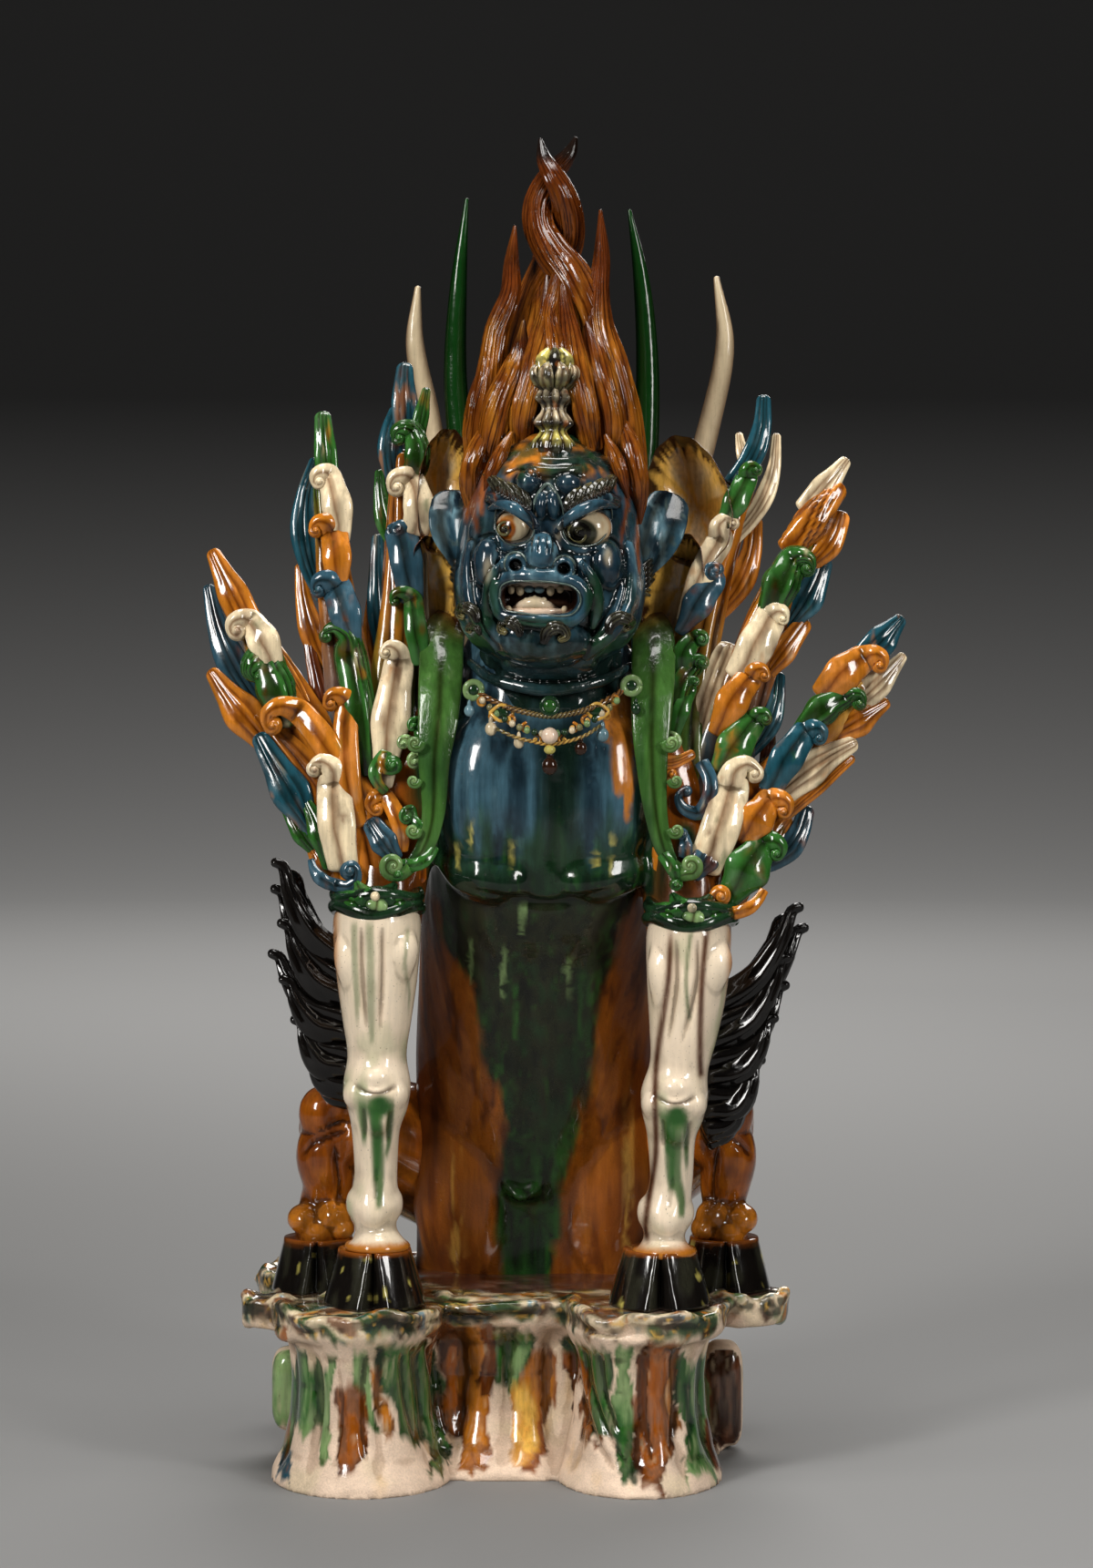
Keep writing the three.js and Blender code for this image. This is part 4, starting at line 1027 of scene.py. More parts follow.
def lined(count, depth, seed):
    """Hair combed with a sharp tool: narrow lines that run out and wander."""

    def section(turn, share):
        phase = count * (turn + 0.1 * np.sin(6 * share + seed) + 0.06 * np.sin(17 * share + 3 * turn))
        line = bell(np.angle(np.exp(1j * phase)), 0, 0.8)
        cell = np.floor((phase + pi) / (2 * pi))
        line = line * soft(-0.75, -0.2, np.sin(cell * 2.4 + share * (5 + 2 * np.sin(cell * 1.7)) + seed))
        return 1 - depth * line + 0.4 * depth * np.cos(phase), line

    return section


def model_hair():
    clay = Clay()
    tip = ["hair", "hair", "hair", "russet", "black"]
    clay.roll("hair", HAIR_ROOT, [48, 57, 59, 51, 35, 15], 0.9, 330, 70, section=lined(60, 0.035, 1))
    for i, (halves, points) in enumerate(HAIR_LOCKS):
        clay.roll(tip, points, halves, 0.85, 110, 60, section=lined(18, 0.17, i))
    for i, (half, points) in enumerate(TEMPLE_LOCKS):
        clay.roll(["hair", "hair", "russet"], points, [1.5, half, half * 1.1, half * 0.7, 1.0], 0.7, 72,
            40, section=lined(13, 0.2, i + 9))
    clay.roll(tip, TWIST_FRONT, [15, 15, 14, 12.5, 11, 10, 9, 7.5, 5, 1.6], 0.85, 96, 120,
        domes=(0.5, 0.8), section=lined(19, 0.15, 14))
    clay.roll(tip, TWIST_BACK, [9, 10, 10.5, 11, 11, 10.5, 9, 7.5, 5, 1.4], 0.9, 96, 120,
        domes=(0.5, 0.8), section=lined(17, 0.15, 15))
    for i in range(7):
        a = radians(12 + 26 * i)
        x, y = HAIR_X + cos(a) * 52, -20 + sin(a) * 46
        lock = [(HAIR_X + cos(a) * 26, -22 + sin(a) * 22, 826), (x * 0.96 + 1, y, 740), (x, y + 2, 650),
            (x * 0.98, y, 556)]
        clay.roll(["russet", "hair", "hair", "russet"], lock, [7, 15, 17, 8], 0.5, 70, 36,
            facing=np.array([-cos(a), -sin(a), 0.0]), section=lined(10, 0.12, i + 20))
    skin = clay.plain(0.5)
    places = skin.places
    streak = skin.rough((6, 6, 60), 21)
    spots = skin.rough((3, 3, 7), 22)
    z = places[:, 2]
    skin.wash("ginger", soft(0.5, 0.85, streak) * 0.75)
    skin.wash("russet", soft(0.56, 0.25, streak) * 0.85)
    skin.wash("umber", soft(0.66, 0.8, spots) * 0.6)
    skin.wash("russet", soft(775, 870, z + (streak - 0.5) * 60) * 0.9)
    skin.wash("black", soft(905, 918, z) * 0.95)
    skin.wash("brown", soft(0.45, 0.7, skin.rough((10, 10, 26), 23)) * soft(770, 700, z) * 0.6)
    skin.lines = np.clip(skin.lines * 1.9, 0, 1)
    skin.piece("hair", "hair_glaze", 0.4, 0.0, 0.5, 0.4, 0.0009)


def model_ornament():
    clay = Clay()
    lean = np.array([0.02, 0.14, 1.0])
    base = np.array([26.0, -90.0, 712.0])

    def at(rise, x=0.0, y=0.0):
        return base + lean * rise + np.array([x, y, 0.0])

    rises = [0, 5, 9, 13, 17, 21, 26, 30, 34, 39, 43, 47]
    clay.roll(["drab", "yellow", "black", "cream", "drab", "cream", "olive"], [at(r) for r in rises],
        [16, 15, 11.5, 9.5, 14, 12.5, 9, 9.5, 14, 12, 9.5, 11], 0.9, 84, 90,
        section=combed(9, 0.24, 1.4, 0.08))
    for i in range(8):
        a = 2 * pi * (i + 0.5) / 8
        out = np.array([cos(a), sin(a), 0.0])
        petal = [at(40, *(out[:2] * 7)), at(47, *(out[:2] * 14)), at(54, *(out[:2] * 15.5)),
            at(59, *(out[:2] * 10.5))]
        clay.roll(["drab", "olive", "cream", "olive"], petal, [3, 5.6, 5, 2], 0.55, 30, 20, facing=-out,
            section=combed(5, 0.2, 1.6))
    for side in (-1, 1):
        clay.roll(["honey", "yellow", "yellow"], [at(50, side * 6, -6), at(60, side * 8.5, -5),
            at(68, side * 4, -2)], [4.5, 5, 2.6], 0.7, 24, 16)
    clay.roll(["black", "black", "olive"], [at(50, 0, -9), at(60, 0, -8), at(69, 0, -2)],
        [4.2, 4.6, 2.8], 0.8, 20, 14)
    skin = clay.plain(0.7)
    skin.mottle("drab", 6, 33, 0.45, 0.65, 0.7)
    skin.mottle("black", 4, 31, 0.54, 0.68, 0.85)
    skin.mottle("rust", 7, 32, 0.6, 0.75, 0.5)
    skin.piece("ornament", "ornament_glaze", 0.3, 0.2, 0.5, 0.8)


# Trunk: x, y, z, half-width and half-depth.
TRUNK = [
    (14, 80, 116, 87, 62), (14, 82, 160, 86, 62), (14, 76, 215, 86, 66), (15, 52, 300, 86, 70),
    (16, 27, 380, 84, 75), (19, 0, 440, 78, 82), (21, -12, 500, 77, 74), (22, -18, 552, 64, 60),
    (24, -24, 606, 48, 44),
]
# Shoulders, and the bands of the mantle, from the neck down.
SHOULDERS = [
    [(-40, -18, 560), (-64, -30, 500), (-88, -46, 430), (-95, -64, 378)],
    [(86, -18, 560), (104, -30, 500), (116, -46, 430), (121, -64, 370)],
]
MANTLE = [
    [(-44, -20, 596), (-50, -44, 584), (-51, -64, 560), (-52, -76, 532), (-55, -82, 500), (-56, -84, 462),
     (-62, -84, 440), (-72, -84, 427)],
    [(92, -20, 596), (95, -44, 584), (95, -64, 560), (94, -76, 532), (94, -82, 500), (97, -84, 462),
     (102, -84, 440), (109, -84, 427)],
]
MANTLE_HALVES = [11, 14, 14.5, 13.5, 10.5, 7.5, 6, 4]
# Furrows of the chest and belly: width and depth, then places x and z.
TRUNK_LINES = [
    (8, 3.5, [(26, 512), (27, 476), (26, 440), (24, 414)]),
    (7, 1.2, [(-10, 500), (-12, 460), (-8, 430)]),
    (6, 1.2, [(56, 500), (58, 460), (54, 430)]),
    (4, 4.5, [(-52, 420), (-20, 407), (10, 401), (21, 400), (34, 401), (62, 408), (92, 420)]),
    (10, 2.5, [(8, 396), (6, 340), (7, 280), (6, 215)]),
    (9, 2.0, [(-70, 400), (-60, 330), (-50, 260)]),
    (9, 2.0, [(92, 400), (84, 330), (74, 260)]),
]


def model_torso():
    clay = Clay()
    clay.roll("blue", [row[:3] for row in TRUNK], [row[3] for row in TRUNK],
        [row[4] / row[3] for row in TRUNK], 96, 70, domes=(0.1, 0.5), section=squarish(2.5))
    for side in (-1, 1):
        clay.lump("blue", (CHEST_X + side * 35, -54, 474), (43, 34, 66), 48, 36)
        clay.lump("blue", (15 + side * 49, 52, 190), (42, 42, 96), 40, 30, (0, side * 4, 0))
    # The chest hangs over the belly in two lobes.
    for points in ([(-48, -52, 432), (-34, -64, 422), (-8, -73, 416), (14, -68, 417)],
            [(28, -68, 417), (48, -73, 416), (74, -64, 422), (88, -52, 432)]):
        clay.roll("blue", points, [10, 15, 16, 10], 0.85, 30, 24)
    for points in SHOULDERS:
        clay.roll("green", points, [26, 32, 31, 29], 1, 40, 24)
    clay.roll("rust", [(-6, 20, 206), (-5, 14, 192), (5, 10, 184), (15, 14, 192), (16, 20, 206)],
        [2.5, 3.4, 4.0, 3.4, 2.5], 1, 18, 30)
    clay.roll(["rust", "amber", "green", "rust"], [(11, 140, 118), (-4, 150, 200), (16, 134, 290),
        (4, 110, 360), (18, 92, 416)], [14, 17, 15, 12, 3], 0.8, 60, 50,
        section=combed(8, 0.1, 2, 0.1, 1.0))
    clay.roll(["russet", "rust", "moss"], [(26, 20, 620), (25, 34, 560), (22, 58, 480), (18, 84, 410)],
        [20, 22, 16, 6], 0.7, 60, 36, section=combed(9, 0.12, 2, 0.1))
    skin = clay.fused(2.1, 24)
    skin.strokes(TRUNK_LINES, 0.3)
    bump = skin.rough((16, 16, 60), 47) - 0.5
    skin.places += skin.normals() * (bump * 2.2)[:, None]
    skin.relax(2)
    skin = skin.thinned(0.42)
    paint_torso(skin)
    skin.piece("torso", "body_glaze", 0.4, 0.15, 0.4, 0.75, clay=True, pooling=0.35)
    bands = Clay()
    for side, points in zip((-1, 1), MANTLE):
        bands.roll(["brown", "mantle", "mantle", "mantle", "mantle", "moss"], points, MANTLE_HALVES, 0.4,
            60, 80, section=veined(0.0, 0.16, 1, 0.05))
        x, y, z = points[-1]
        curl = [(x, y, z), (x + side * 7, y - 3, z - 5)] + curl_path((x + side * 11, z + 1), y - 5, 6,
            1.1, 250, side, 3, 10)
        bands.roll(["mantle", "mint"], curl, [5, 4.6, 3.6, 2.6], 0.9, 24, 50, section=veined(0.1, 0.1))
        for x, z, size in ((points[4][0] + side * 8, 512, 5), (points[5][0] + side * 9, 486, 4),
                (points[5][0] + side * 9, 452, 4.5)):
            spot = curl_path((x + side * size, z), -88, size, 1.1, 90 + side * 90, side, 2, 10)
            bands.roll(["mantle", "mint"], spot, [size * 0.6, size * 0.55, size * 0.4], 0.9, 20, 30,
                section=veined(0.12, 0.0))
    skin = bands.plain(0.6)
    skin.mottle("mint", (4, 4, 40), 48, 0.62, 0.9, 0.35)
    skin.mottle("moss", (16, 16, 50), 49, 0.45, 0.2, 0.6)
    skin.piece("mantle", "mantle_glaze", 0.35, 0.2, 0.4, 0.5, 0.0014)


# The green flood down the belly: heights, and its left and right edges.
FLOOD_Z = [120, 156, 208, 255, 292, 339, 365, 410]
FLOOD_LEFT = [-6, -10, -13, -12, -26, -32, -49, -58]
FLOOD_RIGHT = [20, 34, 38, 47, 55, 62, 69, 84]


def paint_torso(skin):
    wash = skin.wash
    places = skin.places
    x, y, z = places.T
    back = soft(45, 75, y)
    streak = skin.rough((6, 6, 110), 41)
    fine = skin.rough((3.2, 3.2, 70), 42)
    cloud = skin.rough((30, 30, 60), 43)
    ragged = (noise(places, (7, 7, 400), 44) - 0.5) * 2
    chest = soft(396, 412, z + ragged * 10)
    # The chest is blue, dark down its middle and green at both sides and below.
    wash("sky", chest * 0.12)
    wash("navy", soft(0.58, 0.32, streak) * 0.8)
    wash("sky", soft(0.6, 0.9, fine) * 0.45)
    wash("pitch", soft(22, 9, np.abs(x - 33) + ragged * 5) * soft(535, 515, z) * 0.95)
    wash("green", soft(-42, -56, x + ragged * 5) * soft(560, 500, z) * 0.8)
    wash("moss", soft(76, 90, x + ragged * 5) * soft(540, 490, z) * 0.9)
    wash("moss", soft(462, 436, z + ragged * 26) * 0.9)
    wash("green", soft(0.55, 0.8, fine) * soft(470, 440, z + ragged * 20) * soft(16, 30, np.abs(x - 30))
        * 0.6)
    # Black green under the chest's lower edge: painted shade where the chest lobes overhang the belly.
    wash("pitch", soft(428, 412, z + ragged * 10) * 0.9)
    for cx, width, low, high in ((72, 9, 476, 548), (77, 4.5, 458, 540), (64, 4, 512, 545)):
        drip(skin, "amber", cx, width, low, high, sway=1.5)
    for cx, width, low, high in ((-39, 3.2, 424, 441), (-2.5, 2.2, 424, 442), (67, 2, 428, 448),
            (66, 2.6, 420, 432), (-30, 1.8, 440, 456), (56, 2, 424, 436)):
        drip(skin, "yellow", cx, width, low, high, 0.6, sway=1)
    # The belly: a green flood that narrows, over amber with brown streaks.
    below = 1 - chest
    left = np.interp(z, FLOOD_Z, FLOOD_LEFT) + ragged * 7
    right = np.interp(z, FLOOD_Z, FLOOD_RIGHT) + ragged * 7
    flood = soft(-3, 4, x - left) * soft(-3, 4, right - x) * soft(432, 412, z) * (y < 60)
    wash("rust", below)
    skin.bare = below * (0.2 + 0.5 * soft(30, 62, np.abs(x - 15)))
    wash("amber", below * (0.3 + 0.5 * soft(0.5, 0.85, fine)))
    wash("brown", below * soft(0.52, 0.3, streak) * 0.7)
    wash("umber", below * soft(0.36, 0.22, streak) * 0.4)
    wash("brown", below * soft(240, 170, z + ragged * 14) * (0.35 + 0.4 * soft(0.4, 0.7, cloud)))
    wash("umber", below * soft(52, 78, np.abs(x - 15)) * soft(0.35, 0.65, cloud) * 0.4)
    wash("honey", below * soft(7, 2, np.abs(x + 42)) * soft(240, 200, z) * soft(0.4, 0.7, fine) * 0.45)
    wash("honey", below * soft(6, 2, np.abs(x - 80)) * soft(280, 230, z) * soft(0.4, 0.7, fine) * 0.45)
    wash("pitch", flood * 0.97)
    rim = soft(20, 3, np.minimum(x - left, right - x)) * flood
    wash("green", rim * soft(0.4, 0.75, fine) * 0.75)
    wash("moss", flood * soft(0.5, 0.8, streak) * 0.6)
    wash("green", flood * soft(0.65, 0.88, fine) * 0.35)
    wash("black", flood * soft(0.45, 0.25, streak) * soft(200, 260, z) * 0.6)
    wash("green", flood * soft(250, 190, z) * soft(0.3, 0.6, fine) * 0.6)
    for cx, width, low, high, glaze in ((6, 3.5, 372, 400, "mint"), (-30, 2, 340, 372, "mint"),
            (-9, 2.2, 330, 368, "mint"), (38, 2, 330, 360, "mint"), (-1, 1.8, 290, 340, "green"),
            (46, 2.4, 300, 350, "green"), (5, 2.2, 196, 240, "green"), (4, 5, 160, 182, "mint")):
        drip(skin, glaze, cx, width, low, high, 0.6, sway=2)
    # Shoulders, flanks and back in keeping with the front.
    arms = soft(76, 84, np.abs(x - 18)) * soft(360, 380, z)
    wash("rust", arms)
    wash("moss", arms * soft(0.45, 0.6, cloud))
    wash("umber", arms * soft(470, 400, z) * 0.7)
    wash("brown", back * soft(0.3, 0.6, cloud) * 0.7)
    wash("moss", back * soft(330, 440, z + ragged * 60) * 0.85)
    wash("amber", back * soft(0.6, 0.85, streak) * 0.5)
    wash("blue", back * soft(0.55, 0.75, cloud) * soft(400, 480, z) * 0.8)


# Legs.

# Knee and foot of each hind leg, by side.
HIND_KNEES = {-1: -131, 1: 146}
HIND_FEET = {-1: -139, 1: 147}

# Forelegs: the hoof's x, then stations x, y, z and half-width from the elbow to the coronet.
FORELEGS = [
    (-95, [(-95, -72, 402, 26), (-95, -73, 388, 30.5), (-95, -75, 350, 28), (-95, -77, 318, 23.5),
        (-95, -78, 296, 20.5), (-95, -80, 276, 23.5), (-95, -79, 262, 21.5), (-96, -77, 246, 17),
        (-96, -76, 216, 15), (-96.5, -77, 202, 16), (-97, -77, 191, 19), (-96, -78, 176, 14),
        (-95, -80, 165, 20.5)]),
    (102, [(121, -72, 394, 25), (120, -73, 379, 29.5), (118.5, -75, 340, 27.5), (116, -77, 310, 23.5),
        (113, -78, 288, 20.5), (110, -80, 269, 23.5), (109, -79, 255, 21.5), (108, -77, 240, 17),
        (108, -76, 210, 15), (106, -77, 196, 16), (104, -77, 185, 19), (103, -78, 170, 14),
        (103, -80, 161, 20.5)]),
]


def hoof(clay, x, y, z, half_top, half_foot, height, seed):
    """A cloven hoof: a flared cone split in front, with ridges along the split and a rounded crown."""
    rings = 26
    mesh, _, turn, row = ball_shape(96, rings)
    share = np.clip((row - 3) / (rings - 5), 0, 1)
    radius = half_foot + (half_top - half_foot) * share
    cap = np.where(row < 3, np.minimum(row / 2.5, 1), np.where(row > rings - 2, (rings + 1 - row) / 3.0, 1))
    angle = np.angle(np.exp(1j * (turn + pi / 2)))
    split = bell(angle, 0, 0.05 + 0.09 * (1 - share))
    ridge = bell(np.abs(angle), 0.12 + 0.16 * (1 - share), 0.07)
    side_ridge = bell(np.abs(angle), 1.2, 0.16)
    back = soft(0.6, 1.0, np.abs(angle) / pi)
    out = (1 - 0.26 * split + 0.045 * ridge + 0.015 * side_ridge - 0.12 * back) * cap
    places = np.stack([np.cos(turn) * radius * out, np.sin(turn) * radius * 1.1 * out, height * share],
        axis=1)
    places[:, 2] -= 2.0 * (1 - cap) * (share > 0.5)
    spots = noise(places + seed * 31, (5, 5, 9), 7)
    dull = noise(places + seed * 17, (8, 8, 14), 8)
    colour = layered("black", ("yellow", soft(0.82, 0.9, spots) * 0.8),
        ("drab", soft(0.5, 0.8, dull) * 0.5), ("rust", soft(0.9, 1.0, share) * 0.8))
    clay.add(mesh, places + np.array([x, y, z]), colour)


def model_forelegs():
    clay = Clay()
    for _, stations in FORELEGS:
        clay.roll("leg", [s[:3] for s in stations], [s[3] for s in stations], 1.05, 48, 70, domes=(0.2, 0.2))
        top = stations[1]
        low = stations[4]
        for dx, half, drop in ((-18, 11, 50), (-3, 8.5, 66), (16, 13, 40)):
            foot_x = low[0] + dx * 0.5
            front = -99 + abs(dx) * 0.5
            clay.roll("leg", [(top[0] + dx, front + 3, top[2] - 4),
                (top[0] + dx, front - 1, top[2] - drop * 0.5), (foot_x, front + 5, top[2] - drop - 14)],
                [half * 0.75, half, half * 0.4], 0.85, 24, 24)
        knee = stations[5]
        clay.lump("leg", (knee[0], knee[1] - 13, knee[2] + 7), (13, 13, 9))
        for dx in (-15, 14):
            clay.lump("leg", (knee[0] + dx, knee[1] - 8, knee[2] - 5), (8.5, 13, 11))
        clay.lump("leg", (knee[0] + 1, knee[1] - 12, knee[2] - 22), (9, 10, 12))
        clay.roll("leg", [(knee[0] - 17, knee[1] - 16, knee[2] + 2), (knee[0], knee[1] - 25, knee[2] - 3),
                  (knee[0] + 17, knee[1] - 16, knee[2] + 2)], [1.6, 2.4, 1.6], 1, 12, 24, facing=UPWARD)
        fetlock = stations[10]
        for dx in (-12, 12):
            clay.lump("leg", (fetlock[0] + dx, fetlock[1] + 1, fetlock[2] + 2), (8, 13, 12))
        clay.lump("leg", (fetlock[0], fetlock[1] - 12, fetlock[2] - 3), (10, 9, 11))
        end = stations[-1]
        crown = [(end[0] + 20.5 * cos(a), end[1] + 1 + 21.5 * sin(a), end[2] - 1)
            for a in np.linspace(0, 2 * pi, 17)]
        clay.roll("amber", crown, [2.8], 1.1, 14, 60, facing=UPWARD, domes=(0.05, 0.05))
    skin = clay.fused(1.5, 14)
    for _, stations in FORELEGS:
        x0, z0 = stations[1][0], stations[1][2]
        knee = stations[5]
        for dx in (-10, 5):
            skin.stroke([(x0 + dx, z0 + 4), (x0 + dx, z0 - 30), (knee[0] + dx * 0.6, knee[2] + 34)], 1.8,
                3.2, ink=0.5)
        skin.stroke([(knee[0] - 17, knee[2] + 4), (knee[0] - 6, knee[2] - 3), (knee[0] + 6, knee[2] - 3),
            (knee[0] + 16, knee[2] + 3)], 1.7, 2.6, ink=0.6)
        skin.stroke([(knee[0] - 9, knee[2] - 12), (knee[0] - 8, knee[2] - 36)], 1.8, 1.8, ink=0.4)
        skin.stroke([(knee[0] + 11, knee[2] - 14), (knee[0] + 8, knee[2] - 40)], 1.8, 1.8, ink=0.4)
        skin.stroke([(stations[8][0] + 1, stations[8][2] + 6), (stations[9][0], stations[9][2] - 6)],
            2.2, 1.6)
    skin = skin.thinned(0.5)
    paint_forelegs(skin)
    skin.blur(1)
    skin.piece("forelegs", "leg_glaze", 0.1, 0.1, 0.7, 0.8, pooling=0.3)
# Runs of glaze down the forelegs: glaze, width and ink, then places x and z.
LEG_RUNS = [
    ("brown", 2.5, 0.9, [(107, 392), (105, 350), (98, 300), (96, 270), (97, 230), (90, 180), (92, 165)]),
    ("brown", 2.5, 0.9, [(132, 392), (128, 350), (127, 300), (128, 280)]),
    ("green", 1.4, 0.2, [(121, 388), (117, 350), (120, 320)]),
]


def paint_forelegs(skin):
    wash = skin.wash
    places = skin.places
    x, y, z = places.T
    cloud = skin.rough((22, 22, 30), 51)
    wash("clay", soft(0.45, 0.75, cloud) * 0.35)
    wash("cream", soft(0.5, 0.2, cloud) * 0.4)
    for hoof_x, stations in FORELEGS:
        knee_x, knee_z = stations[5][0], stations[5][2]
        green = np.hypot((x - knee_x - 1) / 9, (z - knee_z + 12) / 9)
        wash("green", soft(1.15, 0.6, green + (cloud - 0.5) * 0.7) * (y < -70))
        wash("moss", soft(0.8, 0.2, green) * (y < -70) * 0.7)
        for dx, width, low in ((-7, 4, 40), (-2, 4.5, 66), (3, 5, 84), (8, 3, 50)):
            drip(skin, "green", knee_x + dx, width, knee_z - low, knee_z - 8, 0.9, -70)
        drip(skin, "mint", knee_x - 9, 5, knee_z - 30, knee_z + 4, 0.4, -70)
        top_x = stations[1][0]
        side = -1 if hoof_x < 0 else 1
        outer = np.abs(x - (top_x + side * 30))
        wash("amber", soft(7, 1, outer) * soft(knee_z + 20, knee_z + 50, z) * (y < -50) * 0.8)
        wash("mint", soft(0.6, 0.8, cloud) * soft(14, 22, np.abs(x - knee_x)) * 0.35)
    for cx, low, high, width in ((-108, 320, 390, 3), (-98, 306, 390, 3.6), (-74, 330, 385, 1.6)):
        drip(skin, "green", cx, width, low, high, 0.6, -70, 2)
    for glaze, width, ink, path in LEG_RUNS:
        skin.stroke(path, width * 0.8, 0.0, 0.1, glaze=glaze, ink=ink)
    wash("amber", soft(170, 163, z + (cloud - 0.5) * 6) * 0.95)
    wash("leg", soft(40, 30, np.abs(z - 200)) * (y > -70) * 0.3)
    wash("rust", soft(-66, -50, y) * soft(0.35, 0.65, cloud) * 0.75)


def model_hind_legs():
    clay = Clay()
    for side in (-1, 1):
        knee_x = HIND_KNEES[side]
        foot_x = HIND_FEET[side]
        hip_x = 11 + side * 50
        clay.roll("rust", [(hip_x, 98, 184), (hip_x + side * 42, 78, 212), (knee_x - side * 8, 24, 234),
            (knee_x - side * 4, -8, 226)], [44, 46, 30, 20], 1.15, 48, 36)
        clay.lump("rust", (knee_x + side * 5, -12, 247), (17, 18, 20))
        clay.lump("rust", (knee_x - side * 6, -14, 254), (16, 16, 14))
        clay.roll("rust", [(knee_x + side * 2, -4, 240), (knee_x + side * 5, -9, 218),
            (knee_x + side * 2, -2, 196), (foot_x, 2, 178), (foot_x, -6, 160)], [16, 19, 18, 15, 17],
            1.1, 36, 30)
        for dx, dz, size in ((-13, 5, 11.5), (10, 7, 12.5), (-1, -4, 14), (18, -2, 9)):
            clay.lump("amber", (foot_x + 1 - side * dx * 0.9, -14, 168 + dz), (size, 17, size * 0.9))
    skin = clay.fused(1.8, 12).thinned(0.4)
    for side in (-1, 1):
        knee_x = HIND_KNEES[side]
        skin.stroke([(knee_x - side * 16, 238), (knee_x, 232), (knee_x + side * 14, 226),
            (knee_x + side * 20, 214)], 2.0, 3.0)
        skin.stroke([(knee_x - side * 14, 244), (knee_x - side * 2, 240), (knee_x + side * 8, 236)], 1.6, 2.0)
        skin.stroke([(knee_x - side * 4, 230), (knee_x - side * 8, 200), (knee_x - side * 6, 180)], 2.4, 2.4)
    places = skin.places
    cloud = skin.rough((20, 20, 34), 61)
    skin.wash("umber", soft(0.56, 0.25, cloud) * 0.75)
    skin.mottle("amber", (6, 6, 40), 62, 0.5, 0.8, 0.45)
    skin.wash("brown", soft(0.42, 0.7, skin.rough((9, 9, 20), 63)) * soft(190, 210, places[:, 2]) * 0.85)
    skin.wash("moss", soft(0.7, 0.85, cloud) * (places[:, 1] > 30) * 0.6)
    skin.blur(1)
    skin.piece("hind_legs", "amber_glaze", 0.4, 0.35, 0.5, 0.9)


def model_hooves():
    clay = Clay()
    for i, (hoof_x, _) in enumerate(FORELEGS):
        hoof(clay, hoof_x - 2, -76, PLINTH_TOP - 3, 25, 36, 38, i)
    for i, foot_x in enumerate(HIND_FEET.values()):
        hoof(clay, foot_x, -12, PLINTH_TOP - 3, 24, 33, 36, i + 2)
    clay.plain(0.7).piece("hooves", "black_glaze", 0.3, 0.15, 0.2, 0.9)
# Tips of the elbow tufts seen from the front by side, from the highest strand to the lowest.
TUFT_TIPS = {
    -1: [(-161, 426), (-165, 407), (-163, 384), (-164, 362), (-159, 345), (-156, 329), (-148, 317),
        (-143, 306)],
    1: [(192, 395), (199, 380), (190, 360), (183, 340), (178, 318), (173, 298), (166, 289), (158, 280)],
}


def model_cuffs_and_tufts():
    clay = Clay()
    for cx, cz in ((-95, 401), (121, 393)):
        for rise, reach, half in ((-3, 27.5, 6.5), (6, 27, 6)):
            ring = [(cx + reach * cos(a), -72 + reach * sin(a), cz + rise + 2.5 * sin(3 * a + rise))
                for a in np.linspace(0, 2 * pi, 25)]
            clay.roll(["moss", "pitch", "moss"], ring, [half], 0.9, 30, 80, facing=UPWARD,
                domes=(0.05, 0.05), section=combed(4, 0.12, 2, 0.3, 7.0))
        for dx, spread_x, z0, z1, glaze in ((-4, -27, 0, 6, "green"), (4, 27, 0, 5, "green"),
                (-2, -13, 4, 15, "green"), (2, 13, 4, 14, "moss"), (0, 2, -3, 12, "mint")):
            petal = [(cx + dx, -99 + abs(dx) * 0.3, cz + z0),
                (cx + (dx + spread_x) / 2, -103 + abs(spread_x) * 0.2, cz + z0 + 3),
                (cx + spread_x, -97 + abs(spread_x) * 0.5, cz + z1)]
            clay.roll(glaze, petal, [3.5, 6.5, 2], 0.5, 26, 24, section=veined(0.25, 0.25))
        clay.lump("cream", (cx, -104, cz + 7), (3.4, 3, 3.4), 16, 12)
    skin = clay.plain(0.6)
    skin.mottle("moss", 8, 71, 0.6, 0.35, 0.7)
    skin.piece("cuffs", "green_glaze", 0.4, 0.3, 0.4, 0.7)
    tufts = Clay()
    for side, root_x, root_z in ((-1, -112, 350), (1, 134, 322)):
        for i, (tip_x, tip_z) in enumerate(TUFT_TIPS[side]):
            for layer in range(2):
                foot = np.array([root_x, -60 + layer * 14.0, root_z + 6 - 12 * i - layer * 7])
                tip = np.array([tip_x - side * (layer * 8 + (i % 3) * 3),
                    -62 + layer * 18.0 + (i % 2) * 9, tip_z - layer * 9])
                middle = foot + (tip - foot) * 0.45 + np.array([side * 5, -4, -11])
                neck = foot + (tip - foot) * 0.82 + np.array([side * 3, -2, -6])
                path = [foot, middle, neck, tip, tip + np.array([side * 4.5, 0, 2.0])]
                tufts.roll("black", path, [12, 10.5, 7, 4.4, 3.6], 0.9, 30, 34, domes=(0.4, 0.9),
                    section=combed(6, 0.26, 1.4, 0.3))
    tufts.plain(0.4).piece("elbow_tufts", "black_hair_glaze", 0.2, 0.0, 0.1, 0.8)


# Wings. Each row: glaze, foot x and z, crown x and z, sideways bow, half-width, share of it at the foot
# and at the crown, depth before (-) or behind (+) the slab, and a scroll's curl as x, z and radius.

